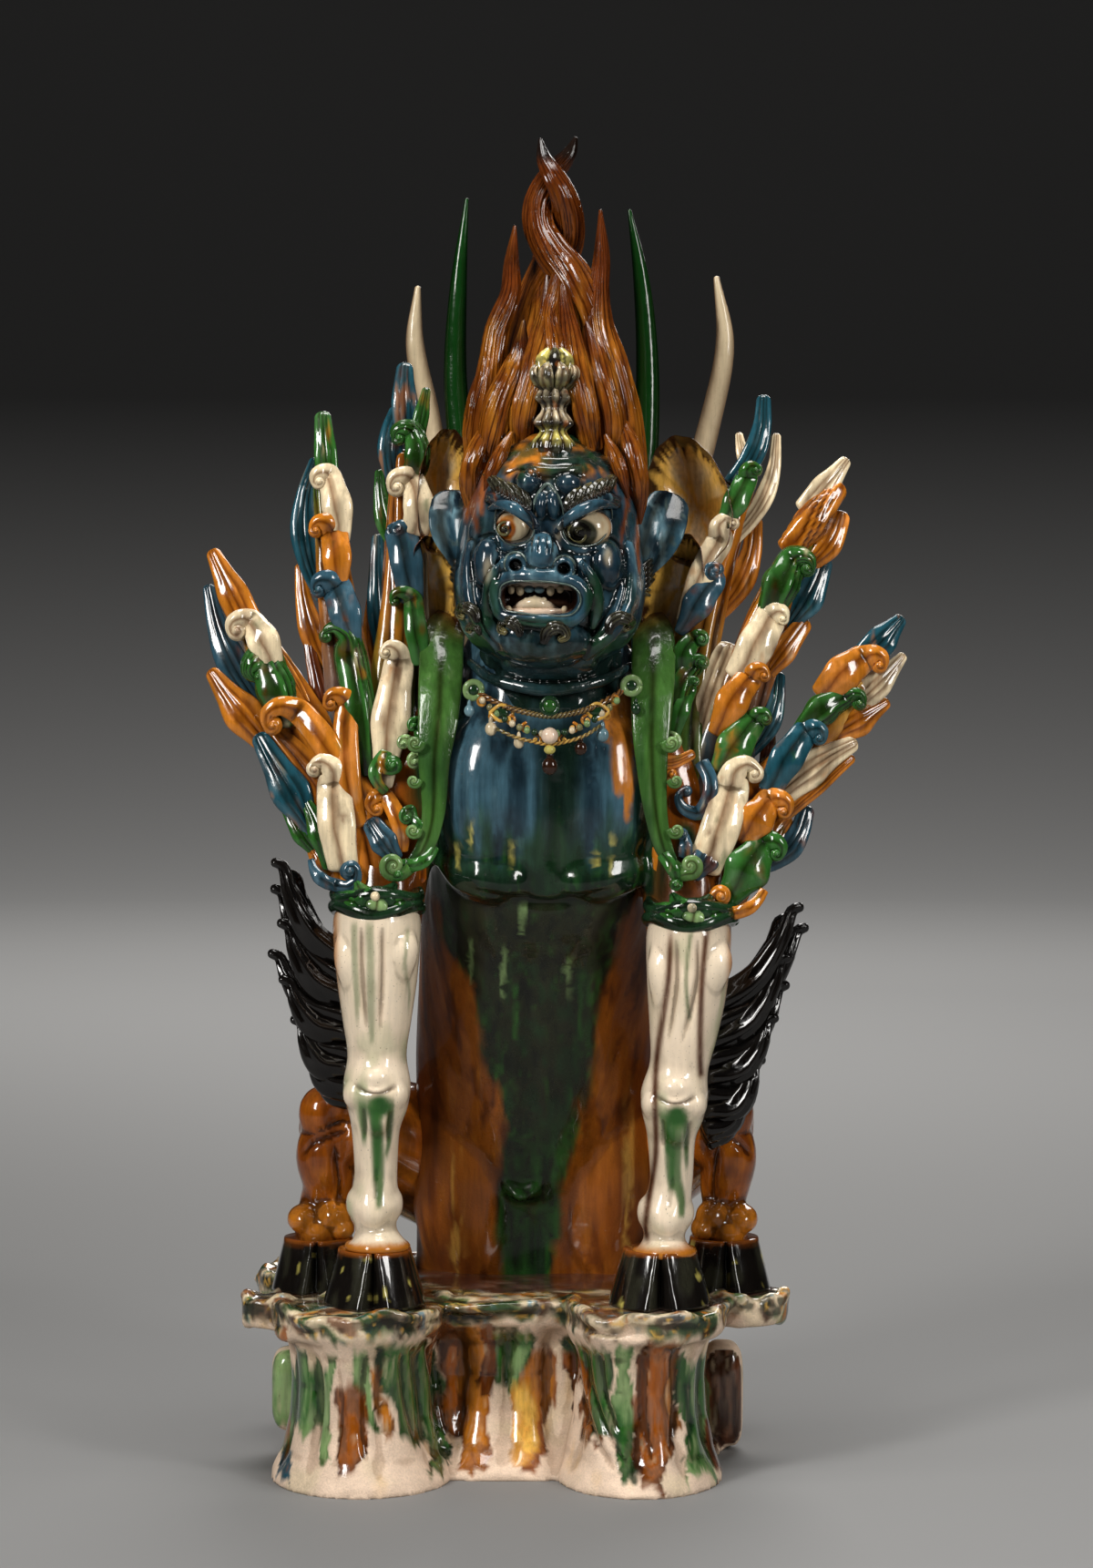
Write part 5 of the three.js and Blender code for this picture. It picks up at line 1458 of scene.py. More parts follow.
LEFT_PLUMES = [
    # Inner plume.
    ("teal", -82, 690, -82, 738, -5, 7.5, 0.7, 0.7, 2),
    ("teal", -75, 726, -77, 769, -1, 7.5, 1, 0.6, -2),
    ("green", -68, 722, -62, 754, 0, 4.5, 1, 0.5, -4),
    ("green_folded", -71, 695, -72, 726, 4, 8.5, 0.9, 0.8, -9, -81, 721, 6.3),
    ("cream", -69, 657, -72, 693, 4, 9.5, 0.9, 0.7, -10, -82, 687, 8.2),
    ("cream", -62, 589, -65, 678, -1, 3, 0.8, 0.8, 3),
    ("green", -78, 636, -95, 697, -4, 6.5, 0.6, 0.3, 10),
    ("blue", -72, 610, -79, 657, 1, 10, 0.8, 1, -7, -81, 657, 5.7),
    ("teal", -87, 551, -96, 651, -3, 7, 0.6, 0.4, 8),
    ("green", -65, 566, -71, 610, 0, 7, 0.8, 0.8, -10, -83, 608, 4.4),
    ("amber", -92, 542, -100, 608, -3, 6.5, 0.4, 0.4, 12),
    ("brown", -97, 508, -86, 589, -1, 6.5, 0.9, 0.6, 4),
    ("cream", -91, 482, -80, 568, 0, 12, 0.5, 0.7, -9, -89, 573, 6.3),
    # Middle plume.
    ("green", -130, 689, -134, 735, 0, 6.5, 1, 0.7, 0),
    ("cream", -122, 651, -130, 696, 3, 9.5, 0.7, 0.7, -8, -136, 691, 6.9),
    ("teal", -133, 611, -140, 704, -11, 7.5, 0.7, 0.4, 6),
    ("amber", -124, 618, -126, 657, 2, 9, 0.7, 0.9, -9, -138, 657, 6.3),
    ("amber", -121, 546, -150, 631, -6, 7.5, 0.6, 0.3, 12),
    ("blue", -113, 579, -124, 618, 2, 10, 0.6, 0.9, -9, -136, 616, 6.9),
    ("green_folded", -101, 489, -114, 571, 1, 10.5, 0.4, 1, -7, -131, 584, 5.7),
    ("brown", -121, 498, -144, 583, -2, 5.5, 0.8, 0.5, 9),
    ("amber", -109, 455, -116, 539, -3, 8, 0.8, 0.9, -11, -127, 538, 6.9),
    # Outer plume.
    ("amber", -183, 588, -209, 640, 0, 9, 1, 0.4, 0),
    ("cream", -168, 564, -184, 595, 3, 10, 0.7, 0.7, -8, -192, 588, 8.8),
    ("blue", -167, 525, -213, 616, -8, 9, 0.6, 0.3, 8),
    ("green_folded", -159, 524, -174, 569, 2, 13, 0.6, 0.8, -6, -178, 556, 5.7),
    ("amber", -138, 517, -169, 578, 3, 3.5, 0.9, 0.6, 1),
    ("amber", -166, 505, -209, 557, -1, 11.5, 0.6, 0.3, 4),
    ("amber", -121, 490, -150, 533, 4, 8.5, 1, 0.9, -12, -167, 523, 8.2),
    ("amber", -111, 423, -169, 520, 7, 16, 0.9, 0.3, 2),
    ("teal", -133, 440, -175, 512, 0, 11.5, 0.3, 0.4, -3),
    ("cream", -118, 427, -124, 483, -1, 11.5, 0.8, 0.9, -12, -138, 493, 6.9),
    ("green", -135, 433, -156, 463, -1, 6, 0.5, 0.6, 0),
    ("green", -127, 426, -144, 471, 2, 7.5, 0.6, 0.3, -8),
    ("amber", -128, 422, -140, 439, 0, 6.5, 1, 0.5, 0),
    ("blue", -140, 431, -123, 414, 4, 4, 0.5, 1, -14, -113, 424, 8.8),
    # Where the plumes join.
    ("amber", -95, 403, -114, 492, 1, 18.5, 1, 0.3, -2),
    ("amber", -78, 438, -91, 476, 5, 5.5, 0.8, 0.9, -14, -95, 466, 6.3),
    ("blue", -82, 432, -97, 454, 0, 8, 0.6, 0.7, -14),
    ("green", -55, 454, -71, 466, -5, 3, 0.8, 0.9, -19, -74, 460, 5.7),
    ("green", -55, 440, -75, 428, -4, 4, 0.7, 1, -20, -80, 422, 6.3),
    ("green", -89, 478, -89, 503, -7, 4, 0.7, 1, -18, -84, 496, 8.2),
    ("mint", -56, 508, -72, 513, -3, 4.5, 1, 0.6, -20, -77, 511, 5),
    ("mint", -53, 501, -65, 503, -5, 4, 1, 0.7, -20, -69, 498, 5.7),
    ("green", -57, 513, -65, 526, -4, 4, 1, 0.6, -19, -70, 523, 5),
]
RIGHT_PLUMES = [
    # Inner plume.
    ("teal", 152, 689, 173, 747, 6, 6.5, 1, 0.6, -2),
    ("cream", 150, 650, 182, 722, 9, 5.5, 0.8, 0.4, 2),
    ("cream", 163, 699, 156, 723, -1, 4, 1, 0.5, 0),
    ("green", 142, 659, 161, 694, 1, 8, 0.5, 0.8, -8, 167, 699, 5.7),
    ("cream", 118, 595, 142, 651, -2, 8, 0.7, 1, -7, 151, 662, 5.7),
    ("amber", 132, 592, 167, 662, 9, 8, 0.6, 0.5, 9),
    ("blue", 114, 587, 137, 623, 0, 9.5, 0.4, 0.8, -9, 139, 630, 6.9),
    ("green", 115, 561, 125, 583, -3, 7, 1, 0.7, -9, 129, 582, 6.3),
    ("green_folded", 112, 527, 124, 564, -5, 8, 0.8, 0.8, -9, 129, 566, 6.3),
    ("green", 110, 517, 121, 548, -1, 5.5, 0.7, 0.7, -11, 124, 553, 4.4),
    ("brown", 106, 516, 106, 575, -1, 3.5, 0.8, 0.7, 0),
    ("cream", 126, 504, 146, 570, -2, 10, 0.6, 0.9, 3),
    # Middle plume.
    ("cream", 203, 671, 229, 704, 0, 8, 1, 0.4, 0),
    ("amber_folded", 190, 644, 223, 684, 0, 12, 0.7, 0.5, -3),
    ("amber", 202, 632, 226, 665, 4, 7.5, 0.6, 0.7, 2),
    ("green_folded", 177, 602, 193, 637, -1, 12.5, 0.7, 0.7, -8, 202, 631, 7.6),
    ("teal", 186, 587, 213, 633, 3, 9.5, 0.4, 0.6, 4),
    ("cream", 155, 557, 178, 598, 0, 11.5, 0.8, 0.8, -7, 185, 596, 5.7),
    ("amber", 171, 553, 199, 591, 0, 7.5, 0.5, 0.7, 3),
    ("amber", 143, 520, 195, 650, 0, 4.5, 0.6, 0.6, 4),
    ("amber", 139, 518, 163, 556, -2, 10.5, 0.5, 0.7, -9, 172, 557, 5.7),
    ("teal", 157, 499, 183, 555, 7, 6.5, 0.6, 0.5, 4),
    ("green", 137, 486, 166, 527, -1, 11.5, 0.4, 0.6, -8, 173, 527, 5.7),
    # Outer plume.
    ("teal", 243, 569, 266, 594, 0, 9, 1, 0.4, -2),
    ("cream", 234, 535, 268, 569, 1, 8, 0.9, 0.3, 2),
    ("amber", 213, 544, 242, 569, -2, 11.5, 0.7, 0.7, -7, 252, 564, 6.9),
    ("green_folded", 198, 519, 229, 542, -3, 10.5, 0.6, 0.6, -7, 238, 538, 6.3),
    ("amber", 219, 515, 256, 537, 0, 9.5, 0.7, 0.3, 3),
    ("teal", 176, 479, 202, 519, -2, 10.5, 0.7, 0.7, -8, 210, 514, 6.3),
    ("cream", 177, 470, 232, 509, -3, 10.5, 0.8, 0.4, 1),
    ("amber", 187, 460, 232, 499, 0, 4, 0.8, 0.7, 3),
    ("cream", 130, 427, 149, 480, 2, 12, 0.9, 0.9, -11, 165, 490, 8.2),
    ("brown", 171, 489, 177, 515, 1, 4.5, 0.7, 0.6, 6),
    ("amber", 156, 445, 176, 472, 0, 11.5, 0.6, 0.6, -8, 185, 464, 6.9),
    ("blue", 168, 425, 201, 462, 7, 7.5, 0.7, 0.6, 5),
    ("amber", 177, 436, 187, 456, -2, 7, 0.8, 0.6, 4),
    ("green", 147, 405, 172, 443, 0, 14.5, 0.5, 0.5, -7, 180, 435, 6.9),
    ("amber", 171, 410, 147, 395, -4, 4, 0.7, 1, -14, 141, 407, 8.8),
    # Where the plumes join.
    ("blue", 129, 497, 126, 463, -7, 4.5, 1, 1, -12, 118, 478, 5),
    ("amber", 88, 505, 121, 503, 6, 4, 0.7, 0.7, -18),
    ("mint", 92, 497, 107, 516, 1, 4, 1, 0.7, -20, 109, 511, 6.3),
    ("amber", 93, 491, 107, 485, 2, 3, 0.9, 0.9, -19, 108, 490, 4.4),
    ("amber", 117, 394, 107, 485, 4, 17.5, 1, 0.2, 2),
    ("amber", 134, 394, 158, 445, -1, 17, 1, 0.5, 5),
    ("blue", 123, 420, 136, 442, 1, 8, 0.5, 0.7, -13),
    ("blue", 117, 434, 116, 448, 1, 4, 1, 0.7, -16, 115, 449, 5),
    ("green", 102, 435, 112, 416, -1, 4, 1, 0.7, -20, 110, 415, 5),
]
# The flat slabs that carry the plumes: x, z and half-width from the shoulder to the tip.
PLUME_SLABS = {
    "left": [
        [(-88, 418, 26), (-84, 520, 21), (-78, 620, 15), (-77, 706, 9)],
        [(-98, 418, 26), (-110, 520, 19), (-126, 620, 13), (-134, 690, 7)],
        [(-106, 426, 24), (-130, 488, 22), (-164, 552, 16), (-188, 600, 7)],
    ],
    "right": [
        [(116, 412, 24), (116, 520, 19), (136, 620, 14), (162, 694, 7)],
        [(122, 418, 24), (144, 500, 21), (174, 590, 16), (206, 662, 7)],
        [(128, 414, 24), (162, 462, 19), (204, 508, 15), (240, 548, 7)],
    ],
}
# How much fuller a leaf is than its row says. A scroll winds in by steps and turns, from a share of its
# radius.
LEAF_FULLNESS = 1.12
SCROLL_STEPS = 11
SCROLL_TURNS = 1.2
SCROLL_START = 0.62


def leaf(clay, row, sense):
    """A leaf or scroll from its row. A scroll hooks over at its crown and ends in a tight volute."""
    glaze, foot_x, foot_z, crown_x, crown_z, bow, half, foot, crown, offset = row[:10]
    folded = glaze.endswith("_folded")
    glaze = glaze.removesuffix("_folded")
    run = hypot(crown_x - foot_x, crown_z - foot_z)
    side = np.array([(crown_z - foot_z) / run, -(crown_x - foot_x) / run])
    half *= LEAF_FULLNESS
    scroll = len(row) > 10

    def spot(t):
        swell = 4 * t * (1 - t) * bow
        z = foot_z + (crown_z - foot_z) * t + side[1] * swell
        rise = (4.5 if scroll else 2.5) * sin(pi * min(t, 1))
        return (foot_x + (crown_x - foot_x) * t + side[0] * swell, plume_depth(z) + offset - rise, z)

    path = [spot(t) for t in (0, 0.25, 0.5, 0.75, 1)]
    halves = [half * foot, half * min(1, 0.4 + 0.6 * foot), half, half * (0.5 + 0.5 * crown),
        half * (0.12 + 0.88 * crown)]
    flats = [0.5] * 5
    if folded:
        section = combed(9, 0.2, 1.5, 0.4, 0.9)
    elif scroll:
        section = veined(0.0, 0.12, 2, 0.07)
    else:
        section = veined(0.26, 0.18, 3, 0.11)
    if scroll:
        curl_x, curl_z, curl = row[10:]
        y = plume_depth(curl_z) + offset - 3
        start = atan2(crown_z - curl_z, crown_x - curl_x)
        reach = hypot(crown_x - curl_x, crown_z - curl_z)
        for i in range(1, SCROLL_STEPS + 1):
            t = i / SCROLL_STEPS
            angle = start - sense * t * 2 * pi * SCROLL_TURNS
            inner = curl * SCROLL_START
            r = inner * (1 - t) ** 0.7 + (reach - inner) * max(0.0, 1 - t * 3.2) ** 1.3
            path.append((curl_x + cos(angle) * r, y - 3.5 * t, curl_z + sin(angle) * r))
            halves.append(half * crown + (curl * 0.34 - half * crown) * min(1, t * 3) ** 0.8)
            flats.append(min(1.0, 0.65 + 0.06 * i))
        clay.lump(glaze, (curl_x, y + 2, curl_z), (curl * 0.85, 4, curl * 0.85), 20, 12)
        clay.lump(glaze, (curl_x, y - 4, curl_z), (curl * 0.28, 3, curl * 0.28), 16, 10)
    clay.roll(glaze, path, halves, flats, 36, 80 if scroll else 36, domes=(0.4, 1.0), section=section)


def plume_slab(clay, stations, glazes):
    points = [(x, plume_depth(z) + 3, z) for x, z, _ in stations]
    flats = [7.5 / half for _, _, half in stations]
    clay.roll(glazes, points, [half * 1.04 for _, _, half in stations], flats, 44, 60, domes=(0.3, 0.8),
        section=combed(7, 0.1, 2, 0.3))


def glaze_runs(skin):
    """Darker and paler runs over the plumes, and stains of amber, green and cream."""
    cloud = skin.rough((9, 9, 16), 81)
    fine = skin.rough((2.5, 2.5, 12), 83)
    thin = (soft(0.5, 0.8, skin.rough((4, 4, 20), 84)) * 0.5)[:, None]
    skin.colours = skin.colours * (0.4 + 0.7 * cloud + 0.38 * fine)[:, None]
    skin.colours += (np.minimum(skin.colours * 1.5 + 0.05, 1) - skin.colours) * thin
    skin.wash("brown", soft(0.34, 0.15, cloud) * 0.55)
    for shift, (glaze, low) in enumerate((("amber", 0.72), ("green", 0.74), ("cream", 0.76))):
        stain = skin.rough((6, 9, 24), 86 + shift)
        skin.wash(glaze, soft(low, low + 0.12, stain) * 0.5)


def model_plumes():
    for side, sense, plumes in (("left", -1, LEFT_PLUMES), ("right", 1, RIGHT_PLUMES)):
        clay = Clay()
        for stations, glazes in zip(PLUME_SLABS[side], (["rust", "green", "amber", "amber"],
                ["rust", "teal", "amber", "green"], ["rust", "amber", "amber", "honey"])):
            plume_slab(clay, stations, glazes)
        for row in plumes:
            leaf(clay, row, sense)
        skin = clay.plain(0.36)
        skin.lines = np.clip(skin.lines * 1.4, 0, 1)
        glaze_runs(skin)
        skin.piece(side + "_plumes", "plume_glaze", 0.3, 0.35, 0.5, 0.9)


# Spikes from foot to tip, with the glaze.
SPIKES = [
    ("spike", [(-12, 22, 540), (-32, 54, 660), (-43, 62, 760), (-41, 60, 830), (-35, 60, 892)]),
    ("spike", [(66, 22, 540), (88, 54, 660), (94, 62, 760), (90, 60, 830), (81, 60, 884)]),
    ("cream", [(-22, 18, 530), (-48, 54, 650), (-62, 62, 738), (-72, 60, 790), (-70, 60, 829)]),
    ("cream", [(78, 18, 530), (114, 54, 650), (138, 62, 732), (149, 60, 790), (143, 60, 836)]),
]


def model_spikes():
    clay = Clay()
    for glaze, points in SPIKES:
        halves = [11, 10, 8.5, 7, 2.4] if glaze == "cream" else [11, 10, 9, 6.5, 1.5]
        clay.roll(glaze, points, halves, 0.75, 40, 80, domes=(0.4, 0.9), section=combed(2, 0.06, 1.0, 0.1))
    skin = clay.plain(0.4)
    fine = skin.rough((3, 3, 60), 91)
    skin.colours = skin.colours * (0.85 + 0.25 * fine)[:, None]
    skin.piece("spikes", "spike_glaze", 0.2, 0.0, 0.5, 0.5, 0.0012)


def ring_of(clay, glaze, x, y, z, radius, half):
    points = [(x + radius * cos(a), y, z + radius * sin(a)) for a in np.linspace(0, 2 * pi, 15)]
    clay.roll(glaze, points, [half], 1, 14, 40, domes=(0.05, 0.05))


def model_necklace():
    clay = Clay()
    rope = [(-31, -68, 553), (-26, -82, 547), (-8, -98, 538), (10, -104, 533), (24, -106, 531),
        (40, -104, 533), (56, -98, 538), (76, -80, 549), (82, -66, 554)]
    clay.roll(["rust", "olive", "rust"], rope, [2.2], 1, 30, 180, facing=UPWARD,
        section=combed(3, 0.32, 1.2, 0, 90))
    chain = [(-12, -100, 522), (0, -107, 517), (12, -110, 514), (24, -111, 512), (36, -110, 514),
        (48, -107, 518), (58, -101, 524)]
    clay.roll(["olive", "honey", "olive"], chain, [1.4], 1, 20, 120, facing=UPWARD,
        section=combed(2, 0.35, 1.2, 0, 60))
    for x, z in ((-28, 548), (80, 551)):
        y = -84 if x < 0 else -82
        ring_of(clay, "mint", x, y - 1, z, 5.6, 2.2)
        clay.lump("moss", (x, y, z), (4.4, 2.6, 4.4))
    ring_of(clay, "moss", 24, -107, 538, 5.6, 1.6)
    clay.lump("green", (24, -106, 538), (5, 3.4, 5))
    for x, z in ((-9, 533), (56, 534)):
        y = -101 + abs(x - 24) * 0.06
        diamond = [(x - 8, y + 1, z), (x, y - 1, z + 5.5), (x + 8, y + 1, z), (x, y - 1, z - 5.5),
            (x - 8, y + 1, z)]
        clay.roll("honey", diamond, [1.2], 1, 12, 40, domes=(0.2, 0.2))
        clay.lump("moss", (x, y + 0.5, z), (5.2, 2, 3.4))
    for x, z, glaze, size in ((-16, 522, "cream", 4.2), (3, 513, "cream", 3.6), (45, 509, "umber", 4.2),
            (60, 518, "sky", 4.4), (-31, 534, "sky", 3.6), (83, 535, "moss", 3.6),
            (24, 497, "umber", 5.4)):
        y = -107 + ((x - 24) ** 2) / 150
        clay.lump(glaze, (x, y, z), (size, size * 0.8, size * 1.15))
        clay.lump(glaze, (x, y + 0.5, z + size * 1.3), (size * 0.4, size * 0.4, size * 0.8))
    for i in range(19):
        x = -22 + 5.1 * i
        y = -108 + ((x - 24) ** 2) / 140
        z = 519 + ((x - 24) ** 2) / 95
        clay.lump(("cream", "olive", "mint", "moss")[i % 4], (x, y, z), (2.3, 2.2, 2.6), 14, 9)
    clay.lump("clay", (24, -113, 518), (5.8, 5, 5.8))
    clay.lump("yellow", (24, -111, 508.5), (4, 3.6, 3.2))
    for i, (x, z) in enumerate(((-22, 540), (-3, 528), (8, 523), (40, 523), (49, 528), (68, 541),
            (33, 515), (15, 515), (-14, 530), (62, 531))):
        y = -105 + ((x - 24) ** 2) / 130
        sense = -1 if i % 2 else 1
        clay.roll(["amber", "honey"], curl_path((x, z), y, 3.6, 1.2, 90, sense, 1.5, 10),
            [1.1, 1.1, 0.8], 1, 12, 26)
    skin = clay.plain(0.7)
    skin.colours = skin.colours * (0.55 + 0.5 * skin.rough(5, 95))[:, None]
    skin.piece("necklace", "necklace_glaze", 0.3, 0.3, 0.6, 0.9)


# Plinth: lobes of the slab, and columns under it, as x, y, half-width and half-depth. A column's row ends
# with its number of folds.
SLAB_LOBES = [
    (-108, -64, 62, 72), (92, -64, 58, 72), (-158, -46, 34, 22), (158, -30, 35, 30),
    (-6, 38, 160, 112), (-152, 66, 36, 46), (142, 74, 38, 44),
]
COLUMN_HEIGHT = 108
COLUMNS = [(-106, -62, 62, 77, 9), (86, -62, 57, 78, 8), (-6, 34, 150, 114, 22)]
# Furrows of the plinth: width and depth, then places x and z.
PLINTH_LINES = [
    (2.6, 3.5, [(-70, 104), (-66, 70), (-60, 30), (-48, 12)]),
    (2.2, 3, [(-78, 100), (-74, 60), (-64, 24)]),
    (2.2, 3, [(-62, 104), (-56, 72), (-50, 34), (-40, 16)]),
    (3, 3, [(-100, 100), (-104, 60), (-100, 20)]),
    (3, 3, [(-136, 98), (-134, 60), (-140, 20)]),
    (2, 2, [(-120, 92), (-118, 50), (-124, 16)]),
    (2.4, 3.4, [(40, 102), (44, 66), (56, 34), (70, 16)]),
    (2.2, 3, [(48, 104), (52, 70), (64, 40), (78, 20)]),
    (2.2, 2.6, [(58, 100), (62, 66), (72, 40)]),
    (2.8, 3, [(90, 100), (88, 60), (94, 20)]),
    (2.2, 2.6, [(108, 98), (110, 60), (106, 24)]),
    (3, 3, [(130, 96), (128, 56), (134, 20)]),
]


def slab_ring(clay, x, y, half_x, half_y, z, half, glaze, seed):
    """The folded lip round a lobe of the slab."""
    points = []
    for i in range(33):
        a = 2 * pi * i / 32
        wave = 1 + 0.03 * sin(5 * a + seed) + 0.025 * sin(11 * a + 2 * seed)
        points.append((x + cos(a) * (half_x - half) * wave, y + sin(a) * (half_y - half) * wave,
            z + 2.6 * sin(4 * a + seed) + 2.0 * sin(9 * a - seed)))
    clay.roll(glaze, points, [half], 0.9, 16, 130, facing=UPWARD, domes=(0.05, 0.05))


def plinth_column(clay, x, y, half_x, half_y, folds, seed):
    """A waisted column with upright folds, wider at its foot."""
    mesh, _, turn, row = ball_shape(180, 44)
    share = np.clip((row - 2) / 40, 0, 1)
    z = share * COLUMN_HEIGHT
    reach = np.interp(z, [0, 7, 22, 45, 70, 92, COLUMN_HEIGHT], [1.03, 1.01, 0.9, 0.82, 0.79, 0.82, 0.92])
    reach = reach + 0.02 * np.sin(3 * turn + seed) * soft(0, 40, z)
    phase = folds * turn + seed + 1.1 * np.sin(2 * turn + seed) + 0.9 * share * np.sin(5 * turn)
    fold = np.abs(np.sin(phase / 2)) ** 0.5
    reach = reach * (1 - 0.1 * (1 - fold) * soft(0, 26, z) * soft(116, 90, z))
    flat = np.where(row < 2, row / 2, np.where(row > 42, (45 - row) / 3, 1.0))
    places = np.stack([x + np.cos(turn) * half_x * reach * flat,
        y + np.sin(turn) * half_y * reach * flat, z], axis=1)
    clay.add(mesh, places, tint("clay"))


def model_plinth():
    clay = Clay()
    for i, (x, y, half_x, half_y, folds) in enumerate(COLUMNS):
        plinth_column(clay, x, y, half_x, half_y, folds, i * 1.7)
    for i, (x, y, half_x, half_y) in enumerate(SLAB_LOBES):
        clay.roll("clay", [(x, y, 103), (x, y, 107), (x, y, 118), (x, y, 122)],
            [half_x * 0.9, half_x * 0.95, half_x * 0.96, half_x * 0.95], half_y / half_x, 72, 8,
            domes=(0.02, 0.04))
        slab_ring(clay, x, y, half_x, half_y, 121, 4.6, "clay", i)
        slab_ring(clay, x, y, half_x * 0.95, half_y * 0.95, 109, 5.2, "clay", i + 3)
    rock = ((148, 34, 40), (15, 20, 38)), ((-158, 26, 45), (17, 17, 30))
    for centre, halves in rock:
        mesh, unit, _, _ = ball_shape(40, 30)
        boxy = np.sign(unit) * np.abs(unit) ** 0.55
        clay.add(mesh, boxy * halves + centre, tint("clay"))
    skin = clay.fused(2.2, 4)
    bump = skin.rough((30, 30, 50), 101) - 0.5
    skin.places += skin.normals() * (bump * 3 * (skin.places[:, 2] > 4))[:, None]
    skin.strokes(PLINTH_LINES, 0.2)
    skin.places[:, 2] = np.maximum(skin.places[:, 2], 0.0)
    skin.relax(1)
    skin = skin.thinned(0.62)
    skin.places[:, 2] = np.where(skin.places[:, 2] < 1.2, 0.0, skin.places[:, 2])
    paint_plinth(skin)
    skin.piece("plinth", "plinth_glaze", 0.3, 0.3, 0.5, 0.9, 0.0008, clay=True, slot="bare_clay")


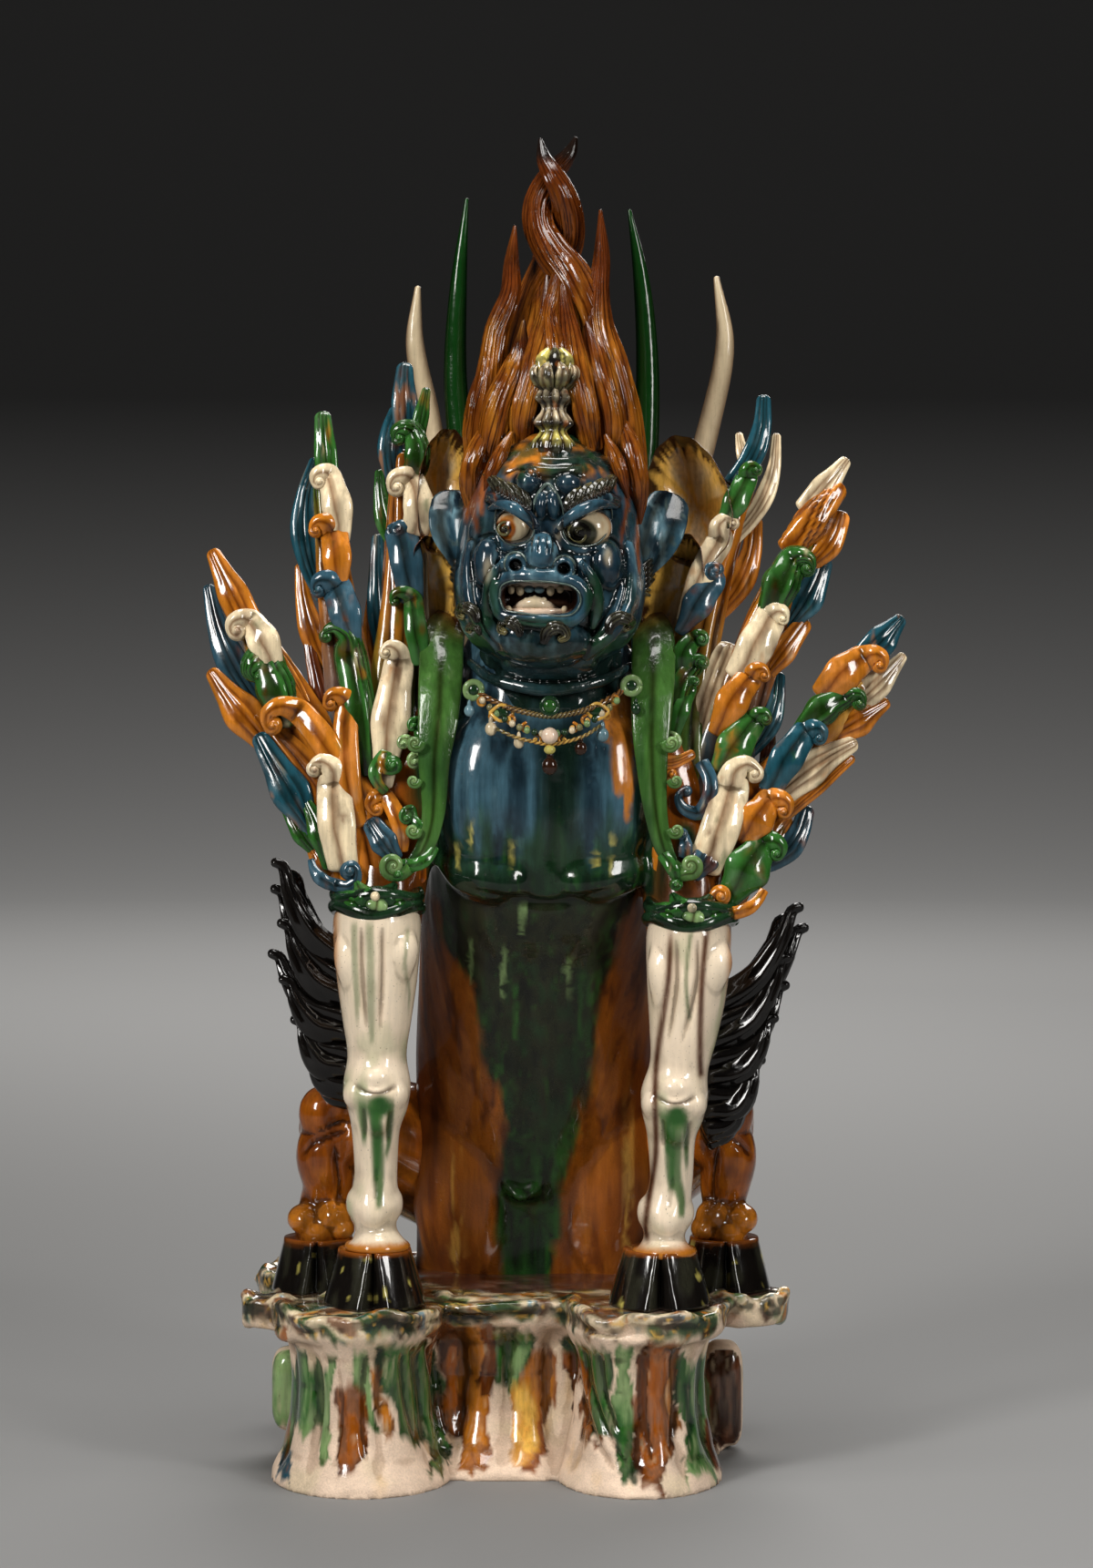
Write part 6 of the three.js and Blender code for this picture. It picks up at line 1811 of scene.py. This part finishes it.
def paint_plinth(skin):
    wash = skin.wash
    places = skin.places
    x, y, z = places.T
    normal = skin.normals()
    streak = skin.rough((9, 9, 46), 111)
    cloud = skin.rough((26, 26, 26), 112)
    fine = skin.rough((4, 4, 22), 113)
    glazed = np.zeros(len(places))
    wash("cream", soft(0.5, 0.75, cloud) * 0.6)
    skin.mottle("honey", (12, 12, 40), 114, 0.66, 0.84, 0.25)

    warp = (noise(places, (14, 14, 26), 5) - 0.5) * 16 + (noise(places, (4, 4, 9), 6) - 0.5) * 5

    def run(glaze, edge, cx, width, low, high, lean=0.0):
        """A run of glaze down a column, with a darker edge and a thick lower end."""
        nonlocal glazed
        inside = np.abs(x - cx - warp - lean * (100 - z)) / width
        body = soft(1.02, 0.86, inside) * soft(low - 3, low + 3, z + (streak - 0.5) * 26)
        body = body * soft(high + 6, high - 2, z + (fine - 0.5) * 12) * (normal[:, 1] < 0.35) * (y < 20)
        wash(glaze, body * (0.86 + 0.14 * soft(0.3, 0.6, fine)))
        wash(edge, body * soft(0.5, 0.3, fine) * 0.5)
        wash(edge, body * np.maximum(soft(0.55, 0.9, inside),
            soft(low + 12, low, z + (streak - 0.5) * 26)) * 0.75)
        wash("cream", body * soft(0.62, 0.85, fine) * 0.35)
        glazed = np.maximum(glazed, body)

    for row in (
        ("green", "moss", -150, 9, 42, 92, 0.02), ("green", "mint", -136, 11, 40, 84, -0.02),
        ("mint", "green", -104, 7, 48, 96, 0.0), ("rust", "umber", -112, 6, 18, 70, 0.04),
        ("green", "moss", -76, 15, 34, 100, 0.16), ("rust", "umber", -46, 14, 22, 112, 0.1),
        ("amber", "brown", -30, 12, 10, 106, 0.05), ("green", "moss", -3, 16, 62, 100, -0.06),
        ("mint", "green", 2, 6, 58, 88, 0.0), ("amber", "brown", 24, 12, 30, 84, -0.14),
        ("rust", "brown", 12, 8, 6, 40, 0.0), ("green", "moss", 50, 12, 36, 96, 0.2),
        ("green", "moss", 66, 9, 12, 60, 0.1), ("rust", "umber", 98, 10, 6, 104, -0.04),
        ("amber", "umber", 112, 5, 40, 100, -0.06), ("green", "mint", 128, 10, 8, 84, 0.0),
        ("blue", "teal", -160, 7, 4, 24, 0.0), ("mint", "green", -126, 5, 26, 92, 0.02),
        ("amber", "umber", -92, 5, 40, 84, 0.04), ("green", "moss", -62, 6, 8, 44, 0.12),
        ("brown", "umber", -18, 5, 56, 108, 0.0), ("honey", "amber", 10, 9, 14, 60, -0.06),
        ("rust", "umber", 40, 5, 30, 84, 0.14), ("mint", "green", 76, 7, 44, 100, 0.02),
        ("rust", "umber", 86, 4, 12, 66, -0.02), ("moss", "green", 119, 4, 22, 92, 0.0),
        ("umber", "brown", 150, 14, 4, 76, 0.0), ("mint", "green", -166, 10, 18, 74, 0.0),
    ):
        run(*row)
    # The flanks and the back carry the same runs, set by noise.
    around = np.arctan2(y - 20, x + 6)
    turn = np.stack([np.cos(around) * 60, np.sin(around) * 60, z * 0.15], axis=1)
    patch = noise(turn, 11, 21)
    behind = soft(0, 30, y) + (np.abs(x + 6) > 150)
    for glaze, low, high, foot in (("green", 0.64, 0.72, 26), ("rust", 0.2, 0.3, 14)):
        band = soft(low, low + 0.05, patch) if low > 0.5 else soft(high, low, patch)
        mask = band * soft(foot - 6, foot + 12, z + (streak - 0.5) * 50)
        mask = mask * np.clip(behind, 0, 1) * (z < 112) * 0.9
        wash(glaze, mask)
        glazed = np.maximum(glazed, mask)
    # The top is flooded: cream, green, amber and blue marbled over a dark purple brown.
    top = soft(0.35, 0.75, normal[:, 2]) * soft(98, 110, z)
    rim = soft(105, 114, z + (streak - 0.5) * 22) * (1 - top)
    flow = np.stack([x + 14 * noise(places, 30, 31), y * 2.4 + 30 * noise(places, 24, 32), z], axis=1)
    marble = rough_noise(flow, (26, 22, 40), 33)
    marble_fine = rough_noise(flow, (10, 12, 40), 34)
    wash("cream", np.maximum(top, rim * 0.8))
    for glaze, low, high, source in (("green", 0.52, 0.62, marble), ("brown", 0.44, 0.36, marble),
            ("sky", 0.66, 0.74, marble_fine), ("moss", 0.6, 0.7, marble),
            ("amber", 0.38, 0.3, marble_fine)):
        wash(glaze, np.maximum(top, rim * 0.9) * soft(low, high, source) * 0.9)
    lip = np.maximum(top * 0.7, rim)
    speckle = rough_noise(flow, (14, 14, 9), 35)
    wash("umber", lip * soft(0.5, 0.62, speckle) * 0.8)
    wash("pitch", lip * soft(0.46, 0.36, rough_noise(flow, (14, 12, 8), 36)) * 0.8)
    wash("honey", lip * soft(0.66, 0.76, rough_noise(flow, (5, 6, 4), 37)) * 0.7)
    hooves = np.zeros(len(places))
    for cx, cy, reach in ((-95, -75, 44), (102, -75, 44), (-139, -12, 42), (147, -12, 42), (11, 40, 96)):
        gap = np.hypot(x - cx, (y - cy) * 1.0) + (cloud - 0.5) * 30
        hooves = np.maximum(hooves, soft(reach, reach - 12, gap))
    wash("plum", top * hooves * 0.9)
    glazed = np.maximum(glazed, np.maximum(top, rim * soft(0.3, 0.6, cloud)))
    skin.bare = 1 - np.clip(glazed, 0, 1)


# Floor, lights and camera.

LAMP_COLOUR = (1.0, 0.98, 0.95)
STUDIO_MIDDLE = (0.02, 0.0, 0.5)
# Lamps: place, what they shine at, width and height in metres, and power as a share of the key light's.
LAMPS = {
    "key_light": ((-1.6, -2.0, 1.7), STUDIO_MIDDLE, (0.5, 1.1), 1.0),
    "fill_light": ((1.7, -1.8, 1.3), STUDIO_MIDDLE, (0.4, 1.0), 0.5),
    "top_light": ((0.1, -0.4, 2.6), STUDIO_MIDDLE, (1.0, 0.8), 0.6),
    "back_light": ((0.5, 2.2, 1.8), STUDIO_MIDDLE, (1.6, 1.2), 0.55),
    "floor_light": ((0.0, 2.9, 2.3), (0.0, 5.2, 0.1), (3.0, 0.8), 2.2),
}
CAMERA_X = 0.0218
CAMERA_HEIGHT = 0.66
SENSOR_HEIGHT = 36.0
# Share of the floor that bends up, height where the backdrop's dark colour is reached, and how it eases in:
# the backdrop is painted darker upwards as painted shade.
FLOOR_BEND = 0.4
BACKDROP_HEIGHT = 0.95
BACKDROP_EASE = 0.55


def area_light(name, place, target, size, energy):
    data = bpy.data.lights.new(name, "AREA")
    data.shape = "RECTANGLE"
    data.size, data.size_y = size
    data.energy = energy
    data.color = LAMP_COLOUR
    lamp = bpy.data.objects.new(name, data)
    lamp.location = place
    lamp.rotation_euler = (Vector(target) - Vector(place)).to_track_quat("-Z", "Y").to_euler()
    bpy.context.collection.objects.link(lamp)


def set_stage(context):
    settings = context.scene.guardian_stage
    reach = settings.floor_size / 2
    bend = reach * FLOOR_BEND
    profile = [(0.0, 0.0)] + [(reach - bend + bend * sin(a), bend - bend * cos(a))
        for a in np.linspace(0, pi / 2, 24)]
    bowl = bmesh.new()
    rim = [bowl.verts.new((x, 0, z)) for x, z in profile]
    edges = [bowl.edges.new(pair) for pair in zip(rim, rim[1:])]
    bmesh.ops.spin(bowl, geom=rim + edges, cent=(0, 0, 0), axis=(0, 0, 1), angle=2 * pi, steps=96)
    bmesh.ops.remove_doubles(bowl, verts=bowl.verts, dist=0.0005)
    bmesh.ops.recalc_face_normals(bowl, faces=bowl.faces)
    mesh = bpy.data.meshes.new("floor")
    bowl.to_mesh(mesh)
    bowl.free()
    mesh.polygons.foreach_set("use_smooth", [True] * len(mesh.polygons))
    floor = bpy.data.objects.new("floor", mesh)
    context.collection.objects.link(floor)
    material = bpy.data.materials.new("pale_floor")
    material.use_nodes = True
    nodes = Nodes(material.node_tree)
    shader = material.node_tree.nodes["Principled BSDF"].inputs
    # The backdrop darkens from the floor's colour upwards: painted shade, as if less light reached high up.
    height = nodes.add("SeparateXYZ", {0: nodes.place()}).outputs["Z"]
    up = nodes.math("POWER", nodes.range(height, 0.0, BACKDROP_HEIGHT), BACKDROP_EASE)
    nodes.join(nodes.mix("MIX", up, (*settings.floor_colour, 1.0), (*settings.backdrop_shade_colour, 1.0)),
        shader["Base Color"])
    nodes.join(0.7, shader["Roughness"])
    mesh.materials.append(material)
    world = bpy.data.worlds.new("studio")
    world.use_nodes = True
    sky = world.node_tree.nodes["Background"]
    sky.inputs[0].default_value = (*settings.studio_colour, 1)
    sky.inputs[1].default_value = 1.0
    context.scene.world = world
    context.scene.view_settings.view_transform = "Standard"
    for name, (place, target, size, share) in LAMPS.items():
        area_light(name, place, target, size, settings.key_power * share)
    camera = bpy.data.objects.new("camera", bpy.data.cameras.new("camera"))
    camera.data.sensor_fit = "VERTICAL"
    camera.data.sensor_height = SENSOR_HEIGHT
    camera.data.lens = settings.lens
    camera.data.clip_end = 50
    camera.location = (CAMERA_X, -settings.camera_distance, CAMERA_HEIGHT)
    camera.rotation_euler = (radians(90 - settings.camera_tilt), 0, 0)
    context.collection.objects.link(camera)
    context.scene.camera = camera


# Settings.


def srgb(red, green, blue):
    """A colour picked as 0 to 255, as the linear numbers that shaders read."""
    return tuple(round(((c / 255 + 0.055) / 1.055) ** 2.4 if c > 10 else c / 255 / 12.92, 4)
        for c in (red, green, blue))


def colour_property(name, description, value):
    return FloatVectorProperty(name=name, description=description, subtype="COLOR", size=3, min=0, max=1,
        default=value)


# Glazes: name, what it is, and the colour as picked from 0 to 255.
GLAZES = {
    "blue": ("Blue", "Cobalt glaze of the head and chest", 44, 74, 88),
    "navy": ("Dark blue", "Thick cobalt glaze", 16, 30, 40),
    "sky": ("Light blue", "Thin cobalt glaze", 104, 136, 146),
    "worn_blue": ("Edge blue", "Glaze worn thin over raised rims", 76, 90, 84),
    "teal": ("Teal", "Blue-green glaze of the plumes", 27, 70, 82),
    "green": ("Green", "Copper green glaze", 42, 90, 34),
    "mint": ("Pale green", "Thin copper green glaze", 122, 150, 96),
    "moss": ("Dark green", "Thick copper green glaze", 24, 52, 28),
    "pitch": ("Black green", "Green glaze pooled on the belly", 16, 32, 21),
    "spike": ("Spike green", "Green glaze of the spikes", 18, 60, 20),
    "mantle": ("Mantle green", "Green glaze of the bands beside the chest", 60, 98, 42),
    "amber": ("Amber", "Iron amber glaze", 176, 106, 28),
    "rust": ("Deep amber", "Thick iron amber glaze", 142, 74, 14),
    "honey": ("Pale amber", "Thin iron amber glaze", 220, 172, 80),
    "yellow": ("Yellow", "Pale yellow glaze", 196, 184, 96),
    "brown": ("Brown", "Iron brown glaze", 100, 48, 14),
    "umber": ("Dark brown", "Thick iron brown glaze", 46, 24, 12),
    "hair": ("Hair", "Amber glaze of the hair", 134, 76, 18),
    "ginger": ("Light hair", "Thin amber glaze of the hair", 176, 116, 36),
    "russet": ("Deep hair", "Thick amber glaze of the hair", 88, 40, 10),
    "olive": ("Olive", "Olive glaze of tufts and folds", 120, 114, 74),
    "drab": ("Dark olive", "Dark olive glaze of tufts and brows", 52, 52, 40),
    "black": ("Black", "Black glaze", 18, 15, 13),
    "cream": ("Cream", "Clear glaze over white slip", 210, 192, 158),
    "leg": ("Leg cream", "Clear glaze of the forelegs", 236, 218, 192),
    "clay": ("Clay", "Fired clay", 230, 204, 180),
    "plum": ("Plum", "Purple brown glaze around the feet", 76, 46, 42),
    # The mouth colour is the clay inside the mouth, darkened as painted shade.
    "mouth": ("Mouth", "Clay inside the mouth", 96, 62, 46),
}


class GuardianGlazes(bpy.types.PropertyGroup):
    """The glaze colours, one setting for each row of the table"""

    __annotations__ = {key: colour_property(*row[:2], srgb(*row[2:])) for key, row in GLAZES.items()}


class GuardianStage(bpy.types.PropertyGroup):
    floor_size: FloatProperty(name="Floor size",
        description="Width of the round floor and its raised edge", default=16.0, min=1, unit="LENGTH")
    floor_colour: colour_property("Floor colour", "Colour of the floor", (0.21, 0.21, 0.21))
    backdrop_shade_colour: colour_property("Backdrop colour", "Colour high up on the backdrop",
        (0.006, 0.006, 0.006))
    studio_colour: colour_property("Studio colour", "Colour of the studio around the figure",
        (0.04, 0.04, 0.041))
    key_power: FloatProperty(name="Key power", description="Power of the main light in watts",
        default=58.0, min=0)
    camera_distance: FloatProperty(name="Camera distance", description="Distance of the camera in front",
        default=3.2, min=0.5, unit="LENGTH")
    camera_tilt: FloatProperty(name="Camera tilt",
        description="How far the camera looks down, in degrees", default=3.24)
    lens: FloatProperty(name="Lens", description="Focal length in mm on a sensor 36 mm high",
        default=104.53, min=10)


# Steps: one operator for each group of pieces.


class GUARDIAN_OT_head(bpy.types.Operator):
    """Model the demon's head with its folds, nose, lips, ears and tufts"""

    bl_idname = "guardian.head"
    bl_label = "Head"

    def execute(self, context):
        model_head()
        return {"FINISHED"}


class GUARDIAN_OT_eyes_and_teeth(bpy.types.Operator):
    """Set the bulging eyes, the teeth and the tongue"""

    bl_idname = "guardian.eyes_and_teeth"
    bl_label = "Eyes and teeth"

    def execute(self, context):
        model_eyes_and_teeth()
        return {"FINISHED"}


class GUARDIAN_OT_ears(bpy.types.Operator):
    """Form the cupped ears behind the head"""

    bl_idname = "guardian.ears"
    bl_label = "Ears"

    def execute(self, context):
        model_ears()
        return {"FINISHED"}


class GUARDIAN_OT_hair(bpy.types.Operator):
    """Comb the flaming hair and wind its two strands to the tips"""

    bl_idname = "guardian.hair"
    bl_label = "Hair"

    def execute(self, context):
        model_hair()
        return {"FINISHED"}


class GUARDIAN_OT_ornament(bpy.types.Operator):
    """Build the tiered forehead ornament"""

    bl_idname = "guardian.ornament"
    bl_label = "Forehead ornament"

    def execute(self, context):
        model_ornament()
        return {"FINISHED"}


class GUARDIAN_OT_torso(bpy.types.Operator):
    """Model the chest, belly, shoulders, back, mane and tail"""

    bl_idname = "guardian.torso"
    bl_label = "Torso"

    def execute(self, context):
        model_torso()
        return {"FINISHED"}


class GUARDIAN_OT_forelegs(bpy.types.Operator):
    """Model the straight forelegs with their knees and fetlocks"""

    bl_idname = "guardian.forelegs"
    bl_label = "Forelegs"

    def execute(self, context):
        model_forelegs()
        return {"FINISHED"}


class GUARDIAN_OT_hind_legs(bpy.types.Operator):
    """Model the folded hind legs behind the forelegs"""

    bl_idname = "guardian.hind_legs"
    bl_label = "Hind legs"

    def execute(self, context):
        model_hind_legs()
        return {"FINISHED"}


class GUARDIAN_OT_hooves(bpy.types.Operator):
    """Set the four black cloven hooves on the plinth"""

    bl_idname = "guardian.hooves"
    bl_label = "Hooves"

    def execute(self, context):
        model_hooves()
        return {"FINISHED"}


class GUARDIAN_OT_cuffs_and_tufts(bpy.types.Operator):
    """Model the green leaf cuffs and the black hair tufts behind the elbows"""

    bl_idname = "guardian.cuffs_and_tufts"
    bl_label = "Cuffs and tufts"

    def execute(self, context):
        model_cuffs_and_tufts()
        return {"FINISHED"}


class GUARDIAN_OT_plumes(bpy.types.Operator):
    """Lay the leaves and scrolls of both wings over their slabs"""

    bl_idname = "guardian.plumes"
    bl_label = "Plumes"

    def execute(self, context):
        model_plumes()
        return {"FINISHED"}


class GUARDIAN_OT_spikes(bpy.types.Operator):
    """Raise the green and cream spikes behind the shoulders"""

    bl_idname = "guardian.spikes"
    bl_label = "Spikes"

    def execute(self, context):
        model_spikes()
        return {"FINISHED"}


class GUARDIAN_OT_necklace(bpy.types.Operator):
    """Hang the twisted cord, roundels, lozenges, drops and pearl on the chest"""

    bl_idname = "guardian.necklace"
    bl_label = "Necklace"

    def execute(self, context):
        model_necklace()
        return {"FINISHED"}


class GUARDIAN_OT_plinth(bpy.types.Operator):
    """Model the lobed plinth with its folded rim, and let the glazes run down it"""

    bl_idname = "guardian.plinth"
    bl_label = "Plinth"

    def execute(self, context):
        model_plinth()
        return {"FINISHED"}


class GUARDIAN_OT_stage(bpy.types.Operator):
    """Lay the pale floor and set the lights and the camera"""

    bl_idname = "guardian.stage"
    bl_label = "Floor, lights and camera"

    def execute(self, context):
        set_stage(context)
        return {"FINISHED"}


class GUARDIAN_PT_panel(bpy.types.Panel):
    """Settings and steps of the tomb guardian"""

    bl_idname = "GUARDIAN_PT_panel"
    bl_label = "Tomb guardian"
    bl_space_type = "VIEW_3D"
    bl_region_type = "UI"
    bl_category = "Guardian"

    def draw(self, context):
        for operator in OPERATORS:
            self.layout.operator(operator.bl_idname)
        for group in (context.scene.guardian_glazes, context.scene.guardian_stage):
            for key in group.bl_rna.properties.keys():
                if key not in ("rna_type", "name"):
                    self.layout.prop(group, key)


OPERATORS = (
    GUARDIAN_OT_stage,
    GUARDIAN_OT_head,
    GUARDIAN_OT_eyes_and_teeth,
    GUARDIAN_OT_ears,
    GUARDIAN_OT_hair,
    GUARDIAN_OT_ornament,
    GUARDIAN_OT_torso,
    GUARDIAN_OT_forelegs,
    GUARDIAN_OT_hind_legs,
    GUARDIAN_OT_hooves,
    GUARDIAN_OT_cuffs_and_tufts,
    GUARDIAN_OT_plumes,
    GUARDIAN_OT_spikes,
    GUARDIAN_OT_necklace,
    GUARDIAN_OT_plinth,
)
CLASSES = (GuardianGlazes, GuardianStage, *OPERATORS, GUARDIAN_PT_panel)


def register():
    for item in CLASSES:
        bpy.utils.register_class(item)
    bpy.types.Scene.guardian_glazes = PointerProperty(type=GuardianGlazes)
    bpy.types.Scene.guardian_stage = PointerProperty(type=GuardianStage)


def unregister():
    del bpy.types.Scene.guardian_stage
    del bpy.types.Scene.guardian_glazes
    for item in reversed(CLASSES):
        bpy.utils.unregister_class(item)


def main():
    register()
    for operator in OPERATORS:
        group, name = operator.bl_idname.split(".")
        getattr(getattr(bpy.ops, group), name)()


if __name__ == "__main__":
    main()
